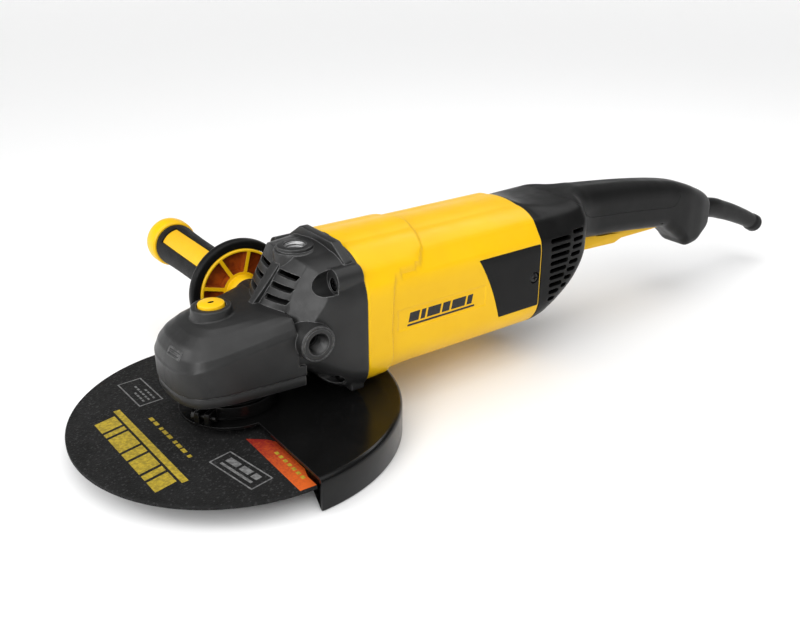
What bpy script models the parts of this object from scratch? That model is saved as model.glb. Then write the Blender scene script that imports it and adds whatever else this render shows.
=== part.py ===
"""Large angle grinder, 230 mm disc size, as an assembly of separate parts.

Units: every size below is in millimetres and is turned into metres when a mesh is made.
Frame: the origin is the centre of the spindle's end face. +Z runs up the spindle axis,
+X runs along the motor towards the rear handle, and +Y is the side of the auxiliary handle.
"""

import math

import bmesh
import bpy
from mathutils import Matrix, Vector

MM = 0.001
GAP = 0.3                      # clearance left between touching parts

# Disc and spindle
DISC_RADIUS = 115.0
DISC_THICKNESS = 3.0
DISC_BOTTOM = 12.0
DISC_BORE = 11.2
SPINDLE_THREAD = 6.9
FLANGE_RADIUS = 21.0

# Gear pair: both cones meet at the crossing of the two axes
MOTOR_Z = 75.0
CROWN_TEETH = 43
PINION_TEETH = 12
CROWN_RADIUS = 32.0
TOOTH_INNER_SCALE = 0.72
ADDENDUM = 1.1
DEDENDUM = 1.6

# Gear housing
SEAM_Z = 50.0
GEAR_CAVITY_RADIUS = 33.4
BOSS_X = 42.0
BOSS_FACE_Y = 52.0
BOSS_RADIUS = 15.0
THREAD_HOLE = 7.2
TOP_BOSS_X = 56.0
TOP_BOSS_Z = 128.3
BUTTON_X = -10.0
BUTTON_TRAVEL = 4.0
GEAR_HOUSING_END = 82.0
HOUSING_SCREW_OFFSET = (41.0, 35.0)          # from the motor axis, in y and z
COVER_SCREWS = ((-30.0, -26.0), (-30.0, 26.0), (31.0, -33.5), (31.0, 33.5))

# Motor housing and handle
HOUSING_START = GEAR_HOUSING_END + GAP
HOUSING_END = 248.0
WALL = 3.2
HANDLE_START = HOUSING_END + GAP
HANDLE_WALL = 2.6
PAD_THICKNESS = 1.6
BRUSH_COVER = ((184.5, 101.5), (246.5, 101.5), (246.5, 50.5), (205.5, 50.5))
BRUSH_X = 212.0
CORD_Z = 68.0

# Motor
STATOR_RADIUS = 43.8
STATOR_START = 116.0
STATOR_END = 176.0

# Guard
GUARD_RADIUS = 120.5
GUARD_TOP = 22.3
GUARD_BOTTOM = -1.5
SHEET = 2.0
NECK_RADIUS = 27.0
CLAMP_ANGLE = math.radians(214.0)

# Auxiliary handle, along +Y
SIDE_END = 211.0
RING_RADIUS = 40.0
RING_START = 63.0
RING_END = 71.0

# Trigger and switch
TRIGGER_PIVOT = (436.0, 73.5)
LOCK_OFF_PIVOT = (359.5, 0.0, 66.7)
SWITCH_X = 380.0

AXIS_TURN = {
    "X": (0.0, math.pi / 2, 0.0),
    "Y": (-math.pi / 2, 0.0, 0.0),
    "Z": (0.0, 0.0, 0.0),
}


# ---------------------------------------------------------------- materials

def make_material(name, colour, roughness, metallic):
    """A Principled BSDF material."""
    mat = bpy.data.materials.new(name)
    mat.use_nodes = True
    shader = mat.node_tree.nodes["Principled BSDF"]
    shader.inputs["Base Color"].default_value = (*colour, 1.0)
    shader.inputs["Roughness"].default_value = roughness
    shader.inputs["Metallic"].default_value = metallic
    return mat


def make_materials():
    """All finishes of the tool, by name."""
    return {
        "cast_grey": make_material("cast_grey", (0.045, 0.045, 0.045), 0.5, 0.3),
        "yellow": make_material("yellow", (0.95, 0.60, 0.01), 0.4, 0.0),
        "black": make_material("black", (0.02, 0.02, 0.02), 0.5, 0.0),
        "soft_black": make_material("soft_black", (0.025, 0.025, 0.025), 0.7, 0.0),
        "steel": make_material("steel", (0.55, 0.55, 0.55), 0.3, 1.0),
        "dark_steel": make_material("dark_steel", (0.05, 0.05, 0.05), 0.35, 0.9),
        "guard_paint": make_material("guard_paint", (0.015, 0.015, 0.015), 0.3, 0.4),
        "abrasive": make_material("abrasive", (0.05, 0.05, 0.05), 0.9, 0.0),
        "copper": make_material("copper", (0.70, 0.30, 0.12), 0.35, 1.0),
        "brass": make_material("brass", (0.70, 0.50, 0.18), 0.35, 1.0),
        "carbon": make_material("carbon", (0.03, 0.03, 0.035), 0.8, 0.0),
        "core_steel": make_material("core_steel", (0.25, 0.25, 0.27), 0.5, 0.9),
    }


# ---------------------------------------------------------------- mesh helpers

def finish(name, bm, material):
    """Turn a bmesh in millimetres into a linked object in metres."""
    bmesh.ops.remove_doubles(bm, verts=bm.verts, dist=1e-4)
    bmesh.ops.recalc_face_normals(bm, faces=bm.faces)
    bmesh.ops.scale(bm, vec=(MM, MM, MM), verts=bm.verts)
    mesh = bpy.data.meshes.new(name)
    bm.to_mesh(mesh)
    bm.free()
    mesh.shade_smooth()
    mesh.set_sharp_from_angle(angle=math.radians(30))
    if material is not None:
        mesh.materials.append(material)
    obj = bpy.data.objects.new(name, mesh)
    bpy.context.scene.collection.objects.link(obj)
    return obj


def place(obj, position=(0.0, 0.0, 0.0), axis="Z"):
    """Set an object's place in millimetres and turn its local Z to an axis."""
    obj.location = Vector(position) * MM
    obj.rotation_euler = AXIS_TURN[axis]
    return obj


def turned(name, profile, material, position=(0.0, 0.0, 0.0), axis="Z", segments=24):
    """A turned part from (radius, height) points; the profile closes itself off the axis."""
    bm = bmesh.new()
    verts = [bm.verts.new((radius, 0.0, height)) for radius, height in profile]
    edges = [bm.edges.new(pair) for pair in zip(verts, verts[1:])]
    if profile[0][0] > 0.0 or profile[-1][0] > 0.0:
        edges.append(bm.edges.new((verts[-1], verts[0])))
    bmesh.ops.spin(bm, geom=verts + edges, cent=(0, 0, 0), axis=(0, 0, 1),
                   angle=2 * math.pi, steps=segments, use_merge=True)
    return place(finish(name, bm, material), position, axis)


def tube(name, inner, outer, start, end, material, position=(0.0, 0.0, 0.0), axis="Z",
         segments=24):
    """A plain ring or tube."""
    profile = [(inner, start), (outer, start), (outer, end), (inner, end)]
    return turned(name, profile, material, position, axis, segments)


def rod(name, radius, start, end, material, position=(0.0, 0.0, 0.0), axis="Z", segments=20):
    """A plain solid cylinder."""
    profile = [(0.0, start), (radius, start), (radius, end), (0.0, end)]
    return turned(name, profile, material, position, axis, segments)


def prism(name, outline, start, end, material, axis="Z"):
    """An outline extruded along a world axis: (x, y) for Z, (x, z) for Y and (y, z) for X."""
    bm = bmesh.new()
    ring = []
    for first, second in outline:
        point = {"Z": (first, second, start), "Y": (first, start, second),
                 "X": (start, first, second)}[axis]
        ring.append(bm.verts.new(point))
    face = bm.faces.new(ring)
    moved = bmesh.ops.extrude_face_region(bm, geom=[face])
    shift = Vector({"Z": (0, 0, 1), "Y": (0, 1, 0), "X": (1, 0, 0)}[axis]) * (end - start)
    bmesh.ops.translate(bm, vec=shift,
                        verts=[item for item in moved["geom"] if isinstance(item, bmesh.types.BMVert)])
    return finish(name, bm, material)


def block(name, low, high, material):
    """A box between two corners."""
    bm = bmesh.new()
    size = Vector(high) - Vector(low)
    matrix = Matrix.Translation((Vector(low) + Vector(high)) / 2) @ Matrix.Diagonal((*size, 1.0))
    bmesh.ops.create_cube(bm, size=1.0, matrix=matrix)
    return finish(name, bm, material)


def loft(name, rings, material, closed=False):
    """A skin over rings of equal point count, with end caps unless the loft closes on itself."""
    bm = bmesh.new()
    rows = [[bm.verts.new(point) for point in ring] for ring in rings]
    pairs = list(zip(rows, rows[1:]))
    if closed:
        pairs.append((rows[-1], rows[0]))
    count = len(rows[0])
    for row, following in pairs:
        for i in range(count):
            j = (i + 1) % count
            bm.faces.new((row[i], row[j], following[j], following[i]))
    if not closed:
        bm.faces.new(rows[0])
        bm.faces.new(rows[-1])
    bmesh.ops.triangulate(bm, faces=bm.faces)
    return finish(name, bm, material)


def boolean(target, others, operation):
    """Combine a part with helper solids in one pass; they stay in the scene as guides."""
    group = bpy.data.collections.new(f"{target.name}_{operation.lower()}")
    for other in others:
        group.objects.link(other)
        other.hide_render = True
        other.display_type = "WIRE"
    modifier = target.modifiers.new(group.name, "BOOLEAN")
    modifier.operation = operation
    modifier.solver = "EXACT"
    modifier.operand_type = "COLLECTION"
    modifier.collection = group


def cut(target, *others):
    """Cut helper solids out of a part."""
    boolean(target, others, "DIFFERENCE")


def join(target, *others):
    """Fuse helper solids with a part."""
    boolean(target, others, "UNION")


def keep_inside(target, other):
    """Keep only what a part and a helper solid share."""
    boolean(target, (other,), "INTERSECT")


def set_origin(obj, position):
    """Move an object's origin to a point in millimetres and keep its mesh where it is."""
    shift = Vector(position) * MM - obj.location
    obj.data.transform(Matrix.Translation(-shift))
    obj.location = obj.location + shift


def circle_points(radius, count, start=0.0):
    """Evenly spaced points on a circle."""
    return [(radius * math.cos(start + 2 * math.pi * i / count),
             radius * math.sin(start + 2 * math.pi * i / count)) for i in range(count)]


# ---------------------------------------------------------------- shared sections

def rounded_section(x, half_width, top, bottom, top_radius, bottom_radius, crown=0.0, inset=0.0,
                    steps=3):
    """A rounded rectangle across the X axis with a crowned top, symmetric about y = 0."""
    half = half_width - inset
    top = top - inset
    bottom = bottom + inset
    points = []
    corners = ((half, top, top_radius, 0.0), (-half, top, top_radius, 90.0),
               (-half, bottom, bottom_radius, 180.0), (half, bottom, bottom_radius, 270.0))
    for y, z, radius, first in corners:
        radius = max(radius - inset, 1.0)
        centre_y = y - math.copysign(radius, y)
        centre_z = z - radius if z == top else z + radius
        for i in range(steps + 1):
            angle = math.radians(first + 90.0 * i / steps)
            points.append((x, centre_y + radius * math.cos(angle),
                           centre_z + radius * math.sin(angle)))
        if (y, z) == (half, top):
            points += [(x, share * centre_y, top + crown * (1.0 - share * share))
                       for share in (0.6, 0.2, -0.2, -0.6)]
    return points


# x, half width, top, bottom, top corner radius, bottom corner radius, crown
BARREL_SECTIONS = (
    (16.0, 27.0, 88.0, 53.0, 8.0, 6.0, 0.0),
    (37.0, 41.0, 117.0, 51.0, 20.0, 8.0, 0.0),
    (43.0, 43.0, 123.5, 46.0, 26.0, 12.0, 1.0),
    (60.0, 48.5, 123.5, 30.0, 28.0, 20.0, 1.5),
    (73.0, 51.0, 125.0, 26.0, 31.0, 20.0, 2.0),
    (76.0, 51.5, 128.0, 25.5, 34.0, 20.0, 3.0),
    (GEAR_HOUSING_END, 52.0, 128.0, 25.0, 34.0, 20.0, 3.0),
)
MOTOR_SECTIONS = (
    (HOUSING_START, 52.0, 128.0, 25.0, 34.0, 20.0, 3.0),
    (106.0, 52.0, 128.0, 25.0, 34.0, 20.0, 3.0),
    (120.0, 50.0, 126.0, 27.5, 32.0, 27.0, 2.0),
    (HOUSING_END, 50.0, 126.0, 27.5, 32.0, 27.0, 2.0),
)
HANDLE_SECTIONS = (
    (HANDLE_START, 50.0, 126.0, 27.5, 32.0, 27.0, 2.0),
    (264.0, 49.5, 125.8, 30.5, 31.0, 26.0, 2.0),
    (282.0, 47.5, 125.6, 40.0, 29.0, 24.0, 1.8),
    (296.0, 43.0, 125.4, 52.0, 26.0, 21.0, 1.2),
    (308.0, 36.5, 125.4, 64.0, 22.0, 18.0, 0.4),
    (320.0, 28.5, 124.8, 72.0, 19.0, 15.0, 0.0),
    (334.0, 22.0, 123.6, 76.5, 17.0, 12.0, 0.0),
    (348.0, 20.0, 122.4, 76.0, 16.0, 11.0, 0.0),
    (390.0, 19.0, 118.0, 72.3, 16.0, 11.0, 0.0),
    (428.0, 18.5, 112.8, 67.5, 15.0, 11.0, 0.0),
    (444.0, 18.5, 110.2, 65.0, 15.0, 11.0, 0.0),
    (458.0, 18.8, 107.6, 53.5, 15.0, 11.0, 0.0),
    (471.0, 19.0, 104.6, 44.5, 15.0, 10.0, 0.0),
    (482.0, 18.5, 101.0, 37.3, 14.0, 9.0, 0.0),
    (492.0, 18.0, 97.0, 40.5, 14.0, 9.0, 0.0),
    (502.0, 16.5, 93.0, 45.5, 13.0, 9.0, 0.0),
    (510.0, 14.5, 88.5, 50.0, 12.0, 9.0, 0.0),
    (513.5, 12.2, 84.5, 54.0, 11.0, 9.0, 0.0),
)


def sections_to_rings(sections, inset=0.0):
    """Rings for a loft, each section pulled in by the inset."""
    return [rounded_section(*section, inset=inset) for section in sections]


def stretched(sections, front, back):
    """The same sections with the first and last moved along X by the given amounts."""
    moved = [list(section) for section in sections]
    moved[0][0] += front
    moved[-1][0] += back
    return moved


# Half plan of the gear housing's nose and its cover, from the tip along one side
NOSE_PLAN = ((-48.0, 0.0), (-47.6, 10.0), (-46.2, 19.0), (-43.0, 27.0), (-38.3, 32.5),
             (-32.6, 35.7), (-19.7, 39.3), (1.7, 41.3), (36.0, 44.4))


def nose_ring(scale, height_tip, height_rear):
    """The nose's plan shrunk towards its middle, on a plane that rises to the rear."""
    centre_x = 5.0
    plan = list(NOSE_PLAN) + [(x, -y) for x, y in reversed(NOSE_PLAN[1:])]
    ring = []
    for x, y in plan:
        share = (x - NOSE_PLAN[0][0]) / (NOSE_PLAN[-1][0] - NOSE_PLAN[0][0])
        ring.append((centre_x + (x - centre_x) * scale, y * scale,
                     height_tip + (height_rear - height_tip) * share))
    return ring


# ---------------------------------------------------------------- gear head

def make_gear_housing(mats):
    """Cast housing: nose, flared barrel, button collar, threaded bosses, louvres and arch."""
    rings = [nose_ring(1.0, SEAM_Z, SEAM_Z), nose_ring(0.985, 67.5, 82.0),
             nose_ring(0.77, 78.6, 88.6), nose_ring(0.48, 89.0, 97.5),
             nose_ring(0.2, 94.0, 99.5)]
    housing = loft("gear_housing", rings, mats["cast_grey"])
    join(housing, loft("guide_barrel", sections_to_rings(BARREL_SECTIONS), None))

    gear_room = [(0.0, SEAM_Z - 1), (GEAR_CAVITY_RADIUS, SEAM_Z - 1), (GEAR_CAVITY_RADIUS, 71.0),
                 (22.0, 84.0), (0.0, 84.0)]
    fan_room = [rounded_section(62.0, 49.0, 124.0, 29.0, 28.0, 20.0, inset=5.0),
                rounded_section(GEAR_HOUSING_END + 1, 52.0, 128.0, 25.0, 34.0, 20.0, inset=4.0)]
    air_room = [rounded_section(33.0, 21.0, 103.0, 93.0, 4.0, 4.0),
                rounded_section(44.0, 33.0, 117.5, 93.0, 12.0, 4.0),
                rounded_section(63.0, 40.0, 119.0, 93.0, 20.0, 4.0)]
    cut(housing,
        turned("guide_gear_room", gear_room, None),
        loft("guide_fan_room", fan_room, None),
        loft("guide_air_room", air_room, None))

    at_boss = (BOSS_X, 0, MOTOR_Z)
    arch = [(-40.0, 110.0), (-38.5, 122.0), (-23.0, 132.0), (23.0, 132.0), (38.5, 122.0),
            (40.0, 110.0), (33.0, 110.0), (24.0, 121.5), (-24.0, 121.5), (-33.0, 110.0)]
    ridge = [(13.0, 93.0), (40.0, 124.5), (56.0, 125.0), (56.0, 117.0), (42.0, 117.0), (22.0, 93.0)]
    join(housing,
         prism("guide_arch", arch, 70.0, 78.5, None, axis="X"),
         prism("guide_ridge", ridge, -13.5, 13.5, None, axis="Y"),
         rod("guide_collar", 13.5, 82.0, 99.0, None, (BUTTON_X, 0, 0)),
         rod("guide_top_boss", 13.5, 117.0, TOP_BOSS_Z, None, (TOP_BOSS_X, 0, 0)),
         rod("guide_left_boss", BOSS_RADIUS, -BOSS_FACE_Y, -34.0, None, at_boss, "Y"),
         rod("guide_right_boss", BOSS_RADIUS, 34.0, BOSS_FACE_Y, None, at_boss, "Y"),
         rod("guide_bush_boss", 8.6, 77.0, 86.0, None, segments=16))
    cut(housing,
        rod("guide_button_bore", 9.6, 88.0, 100.0, None, (BUTTON_X, 0, 0)),
        rod("guide_pin_hole", 2.8, 60.0, 90.0, None, (BUTTON_X, 0, 0), segments=12),
        rod("guide_bush_seat", 6.3, 76.0, 85.0, None, segments=16),
        rod("guide_top_hole", THREAD_HOLE, 115.0, 130.0, None, (TOP_BOSS_X, 0, 0), segments=20),
        rod("guide_left_hole", THREAD_HOLE, -53.0, -36.0, None, at_boss, "Y", segments=20),
        rod("guide_right_hole", THREAD_HOLE, 36.0, 53.0, None, at_boss, "Y", segments=20),
        rod("guide_pinion_room", 11.0, 10.0, 64.0, None, (0, 0, MOTOR_Z), "X", segments=16),
        rod("guide_bearing_seat", 16.3, 45.7, 64.0, None, (0, 0, MOTOR_Z), "X", segments=20),
        *louvre_cutters(), *screw_pocket_cutters())


def louvre_cutters():
    """Three air slots on each side of the sloping front of the barrel."""
    cutters = []
    for side in (-1, 1):
        for level in (99.0, 106.0, 113.0):
            low, high = sorted((side * 15.0, side * 31.0))
            cutters.append(block(f"guide_louvre_{side}_{level:.0f}", (16.0, low, level),
                                 (50.0, high, level + 4.2), None))
    return cutters


def housing_screw_places():
    """Centre lines of the four housing screws, in y and z."""
    return [(HOUSING_SCREW_OFFSET[0] * side, MOTOR_Z + HOUSING_SCREW_OFFSET[1] * vertical)
            for side in (-1, 1) for vertical in (-1, 1)]


def screw_pocket_cutters():
    """Stepped holes for the housing screws, open to the front."""
    stepped = [(0.0, 40.0), (5.2, 40.0), (5.2, 66.5), (2.6, 66.5), (2.6, 83.0), (0.0, 83.0)]
    return [turned(f"guide_screw_pocket_{index}", stepped, None, (0, y, z), "X", segments=12)
            for index, (y, z) in enumerate(housing_screw_places())]


def make_bearing_cover(mats):
    """Cover under the gear room, with the neck that holds the bearing and the guard."""
    rings = [nose_ring(0.95, 42.0, 42.0), nose_ring(0.985, 43.5, 43.5),
             nose_ring(0.985, SEAM_Z - GAP, SEAM_Z - GAP)]
    cover = loft("bearing_cover", rings, mats["cast_grey"])
    join(cover, rod("guide_neck", NECK_RADIUS, 25.0, 43.0, None))
    bore = [(0.0, 24.0), (11.6, 24.0), (11.6, 34.7), (20.35, 34.7), (20.35, 51.0), (0.0, 51.0)]
    stepped = [(0.0, 40.0), (4.8, 40.0), (4.8, 44.0), (2.7, 44.0), (2.7, 51.0), (0.0, 51.0)]
    cut(cover, turned("guide_cover_bore", bore, None, segments=24),
        *(turned(f"guide_cover_hole_{index}", stepped, None, (x, y, 0), segments=12)
          for index, (x, y) in enumerate(COVER_SCREWS)))


def make_screw(name, material, position, axis, head_radius, head_start, head_end, shank_radius,
               shank_end):
    """A pan-head screw with its head from head_start to head_end and its shank beyond that."""
    profile = [(0.0, head_start), (head_radius, head_start), (head_radius, head_end),
               (shank_radius, head_end), (shank_radius, shank_end), (0.0, shank_end)]
    return turned(name, profile, material, position, axis, segments=10)


def make_cover_screws(mats):
    """Four screws up through the bearing cover into the gear housing's floor."""
    for index, (x, y) in enumerate(COVER_SCREWS, 1):
        make_screw(f"cover_screw_{index}", mats["dark_steel"], (x, y, 0), "Z",
                   4.3, 40.8, 43.7, 2.2, SEAM_Z - GAP)


def make_housing_screws(mats):
    """Four long screws from the gear housing's pockets back to the motor housing."""
    for number, (y, z) in enumerate(housing_screw_places(), 1):
        make_screw(f"housing_screw_{number}", mats["dark_steel"], (0, y, z), "X",
                   4.4, 62.0, 66.2, 2.2, GEAR_HOUSING_END)


def make_spindle(mats):
    """Output spindle: thread, shoulder, bearing seat, gear seat and top journal."""
    profile = [(0.0, 0.0), (6.1, 0.0), (SPINDLE_THREAD, 0.8), (SPINDLE_THREAD, 21.0), (10.0, 21.0),
               (10.0, 34.0), (8.3, 34.0), (8.3, 47.6), (10.0, 47.6), (10.0, 53.7), (7.4, 53.7),
               (7.4, 66.5), (4.1, 66.5), (4.1, 84.0), (0.0, 84.0)]
    return turned("spindle", profile, mats["steel"], segments=20)


def make_bearing(name, mats, inner, outer, start, end, position=(0.0, 0.0, 0.0), axis="Z"):
    """A shielded ball bearing as one ring with rounded outer edges."""
    profile = [(inner, start), (outer - 1.0, start), (outer, start + 1.0), (outer, end - 1.0),
               (outer - 1.0, end), (inner, end)]
    return turned(name, profile, mats["steel"], position, axis, segments=20)


def tooth_ring(teeth, tip_share, root_share, make_point, phase):
    """Four points for each tooth: root, tip, tip, root, spread as shares of the pitch."""
    pitch = 2 * math.pi / teeth
    ring = []
    for tooth in range(teeth):
        middle = phase + tooth * pitch
        for offset, is_tip in ((-root_share, False), (-tip_share, True),
                               (tip_share, True), (root_share, False)):
            ring.append(make_point(middle + offset * pitch, is_tip))
    return ring


def make_crown_gear(mats):
    """Large bevel gear; its teeth shrink towards the point where the two axes cross."""
    pinion_pitch = CROWN_RADIUS * PINION_TEETH / CROWN_TEETH
    half_pitch = math.pi / CROWN_TEETH

    def ring(radius, tip_z, root_z, tip_share=0.11, root_share=0.27):
        def point(angle, is_tip):
            return (radius * math.cos(angle), radius * math.sin(angle), tip_z if is_tip else root_z)
        return tooth_ring(CROWN_TEETH, tip_share, root_share, point, half_pitch)

    drop_tip = pinion_pitch - ADDENDUM
    drop_root = pinion_pitch + DEDENDUM
    scale = TOOTH_INNER_SCALE
    rings = [ring(7.8, 54.0, 54.0), ring(CROWN_RADIUS, 58.0, 58.0),
             ring(CROWN_RADIUS, MOTOR_Z - drop_tip, MOTOR_Z - drop_root),
             ring(CROWN_RADIUS * scale, MOTOR_Z - drop_tip * scale, MOTOR_Z - drop_root * scale),
             ring(20.0, 66.0, 66.0), ring(7.8, 66.0, 66.0)]
    gear = loft("crown_gear", rings, mats["steel"], closed=True)
    cut(gear, *(rod(f"guide_lock_hole_{index}", 3.0, 61.0, 67.0, None, (x, y, 0), segments=10)
                for index, (x, y) in enumerate(circle_points(-BUTTON_X, 4))))


def make_pinion(mats):
    """Small bevel gear on the motor shaft."""
    pitch_radius = CROWN_RADIUS * PINION_TEETH / CROWN_TEETH
    tip, root = pitch_radius + ADDENDUM, pitch_radius - DEDENDUM
    scale = TOOTH_INNER_SCALE

    def ring(x, tip_radius, root_radius):
        def point(angle, is_tip):
            radius = tip_radius if is_tip else root_radius
            return (x, radius * math.cos(angle), radius * math.sin(angle))
        return tooth_ring(PINION_TEETH, 0.11, 0.25, point, -math.pi / 2)

    inner_x = CROWN_RADIUS * scale
    rings = [ring(37.0, 4.3, 4.3), ring(37.0, 8.0, 8.0), ring(CROWN_RADIUS + 1, 8.0, 8.0),
             ring(CROWN_RADIUS, tip, root), ring(inner_x, tip * scale, root * scale),
             ring(inner_x, 4.3, 4.3)]
    pinion = loft("bevel_pinion", rings, mats["steel"], closed=True)
    pinion.location = (0, 0, MOTOR_Z * MM)
    return pinion


def make_spindle_group(mats):
    """Everything that turns with the disc, and what it runs in."""
    make_spindle(mats)
    make_bearing("spindle_lower_bearing", mats, 8.7, 20.0, 35.0, 47.0)
    tube("spindle_upper_bush", 4.3, 6.0, 77.2, 84.6, mats["brass"], segments=20)
    make_crown_gear(mats)
    flange = [(7.3, 12.5), (DISC_BORE - 0.3, 12.5), (DISC_BORE - 0.3, 15.3),
              (FLANGE_RADIUS, 15.3), (FLANGE_RADIUS, 18.0), (14.0, 20.7), (7.3, 20.7)]
    turned("inner_flange", flange, mats["steel"], segments=24)
    make_clamp_nut(mats)
    disc = [(DISC_BORE, DISC_BOTTOM), (DISC_RADIUS, DISC_BOTTOM),
            (DISC_RADIUS, DISC_BOTTOM + DISC_THICKNESS), (DISC_BORE, DISC_BOTTOM + DISC_THICKNESS)]
    turned("cutting_disc", disc, mats["abrasive"], segments=64)


def make_clamp_nut(mats):
    """Round clamping nut below the disc with four holes for the pin spanner."""
    top = DISC_BOTTOM - GAP
    profile = [(7.3, 4.0), (13.0, 4.0), (13.0, 5.5), (FLANGE_RADIUS, 5.5), (FLANGE_RADIUS, top),
                 (7.3, top)]
    nut = turned("clamp_nut", profile, mats["dark_steel"], segments=24)
    cut(nut, *(rod(f"guide_spanner_hole_{index}", 2.5, 3.0, 10.0, None, (x, y, 0), segments=12)
               for index, (x, y) in enumerate(circle_points(17.0, 4, math.pi / 4))))


def make_guard(mats):
    """Half-round sheet guard: top plate, rolled edge, rim and the collar around the neck."""
    edge_radius = 4.0
    outer = [(GUARD_RADIUS, GUARD_BOTTOM)]
    inner = [(GUARD_RADIUS - SHEET, GUARD_BOTTOM)]
    for step in range(4):
        angle = math.radians(90.0 * step / 3)
        centre = (GUARD_RADIUS - edge_radius, GUARD_TOP - edge_radius)
        outer.append((centre[0] + edge_radius * math.cos(angle),
                      centre[1] + edge_radius * math.sin(angle)))
        small = edge_radius - SHEET
        inner.append((centre[0] + small * math.cos(angle), centre[1] + small * math.sin(angle)))
    collar_inner = NECK_RADIUS + 0.5
    outer.append((collar_inner + 1.0, GUARD_TOP))
    inner.append((collar_inner + 1.0, GUARD_TOP - SHEET))
    profile = outer + list(reversed(inner))
    bm = bmesh.new()
    verts = [bm.verts.new((radius, 0.0, height)) for radius, height in profile]
    face = bm.faces.new(verts)
    bmesh.ops.rotate(bm, cent=(0, 0, 0), matrix=Matrix.Rotation(-math.pi / 2, 3, "Z"), verts=verts)
    bmesh.ops.spin(bm, geom=[face], cent=(0, 0, 0), axis=(0, 0, 1), angle=math.pi, steps=30)
    guard = finish("guard", bm, mats["guard_paint"])
    collar = [(collar_inner, GUARD_TOP - SHEET), (38.0, GUARD_TOP - SHEET), (38.0, GUARD_TOP),
              (collar_inner + 2.0, GUARD_TOP), (collar_inner + 2.0, 35.0), (collar_inner, 35.0)]
    join(guard, turned("guide_guard_collar", collar, None, segments=30))
    return guard


def make_guard_clamp(mats):
    """Band with two ears around the guard's collar, and its screw."""
    inner = NECK_RADIUS + 2.5 + GAP
    outer = inner + 2.2
    low, high = 24.5, 34.0
    band = tube("guard_clamp_band", inner, outer, low, high, mats["guard_paint"], segments=30)
    ears = block("guide_ears", (outer - 1.0, -6.0, low), (outer + 9.5, 6.0, high), None)
    slot = block("guide_slot", (inner - 2.0, -2.2, low - 1), (outer + 11.0, 2.2, high + 1), None)
    hole = rod("guide_ear_hole", 2.4, -8.0, 8.0, None, (outer + 5.0, 0, (low + high) / 2), "Y",
               segments=12)
    join(band, ears)
    cut(band, slot, hole)
    screw = make_screw("guard_clamp_screw", mats["steel"],
                       (outer + 5.0, 0, (low + high) / 2), "Y", 3.8, -9.5, -6.3, 1.9, 9.0)
    for obj in (band, ears, slot, hole, screw):
        turn = Matrix.Rotation(CLAMP_ANGLE, 4, "Z")
        obj.matrix_world = turn @ Matrix.LocRotScale(obj.location, obj.rotation_euler, None)


def make_spring(name, material, radius, wire, turns, bottom, top, position):
    """A compression coil from bottom to top."""
    steps_per_turn = 8
    sides = 5
    rings = []
    count = turns * steps_per_turn
    low, high = bottom + wire, top - wire
    for step in range(count + 1):
        angle = 2 * math.pi * step / steps_per_turn
        centre = Vector((radius * math.cos(angle), radius * math.sin(angle),
                         low + (high - low) * step / count))
        outward = Vector((math.cos(angle), math.sin(angle), 0.0))
        up = Vector((0.0, 0.0, 1.0))
        rings.append([centre + wire * (math.cos(a) * outward + math.sin(a) * up)
                      for a in (2 * math.pi * side / sides for side in range(sides))])
    return place(loft(name, rings, material), position)


def make_spindle_lock(mats):
    """Yellow button, its pin into the gear and the return spring."""
    button = [(0.0, 94.0), (9.2, 94.0), (9.2, 100.2), (8.4, 101.0), (1.6, 101.0), (1.2, 100.4),
              (0.0, 100.4)]
    turned("lock_button", button, mats["yellow"], (BUTTON_X, 0, 0))
    rod("lock_pin", 2.4, 67.2, 93.7, mats["steel"], (BUTTON_X, 0, 0), segments=16)
    make_spring("lock_spring", mats["steel"], 4.6, 0.5, 3, 88.2, 93.8, (BUTTON_X, 0, 0))


# ---------------------------------------------------------------- motor

def make_armature(mats):
    """Shaft, core, windings, commutator, fan and nut that turn together."""
    shaft = [(0.0, 15.5), (3.8, 15.5), (3.8, 37.3), (6.0, 37.3), (6.0, 58.0), (8.0, 58.0),
             (8.0, 226.0), (5.0, 226.0), (5.0, 243.0), (0.0, 243.0)]
    at_axis = (0, 0, MOTOR_Z)
    turned("armature_shaft", shaft, mats["steel"], at_axis, "X", segments=16)
    make_pinion(mats)
    nut = prism("pinion_nut", circle_points(6.3, 6), 16.8, 21.6, mats["steel"], axis="X")
    nut.location = (0, 0, MOTOR_Z * MM)
    cut(nut, rod("guide_nut_bore", 4.2, 16.0, 23.0, None, at_axis, "X", segments=16))
    core = [(8.3, 116.0), (26.0, 116.0), (26.0, 176.0), (8.3, 176.0)]
    turned("armature_core", core, mats["core_steel"], at_axis, "X", segments=24)
    front = [(8.3, 101.0), (16.0, 101.0), (22.0, 106.0), (24.0, 115.7), (8.3, 115.7)]
    rear = [(8.3, 176.3), (24.0, 176.3), (22.0, 186.0), (15.0, 193.0), (8.3, 193.0)]
    turned("armature_winding_front", front, mats["copper"], at_axis, "X", segments=16)
    turned("armature_winding_rear", rear, mats["copper"], at_axis, "X", segments=16)
    commutator = [(8.3, 196.0), (17.0, 196.0), (17.0, 199.0), (15.0, 199.0), (15.0, 224.0),
                  (8.3, 224.0)]
    turned("commutator", commutator, mats["copper"], at_axis, "X", segments=16)
    make_fan(mats)


def make_fan(mats):
    """Cooling fan: hub, back plate and blades."""
    at_axis = (0, 0, MOTOR_Z)
    hub = [(8.4, 67.0), (13.0, 67.0), (13.0, 77.0), (41.0, 78.5), (41.0, 80.5), (8.4, 80.5)]
    fan = turned("cooling_fan", hub, mats["black"], at_axis, "X", segments=32)
    count = 11
    blades = []
    for index in range(count):
        blade = block(f"guide_blade_{index}", (68.0, -1.0, 11.0), (79.0, 1.0, 40.5), None)
        blade.rotation_euler = (2 * math.pi * index / count, 0, 0)
        blade.location = Vector(at_axis) * MM
        blades.append(blade)
    join(fan, *blades)


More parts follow.
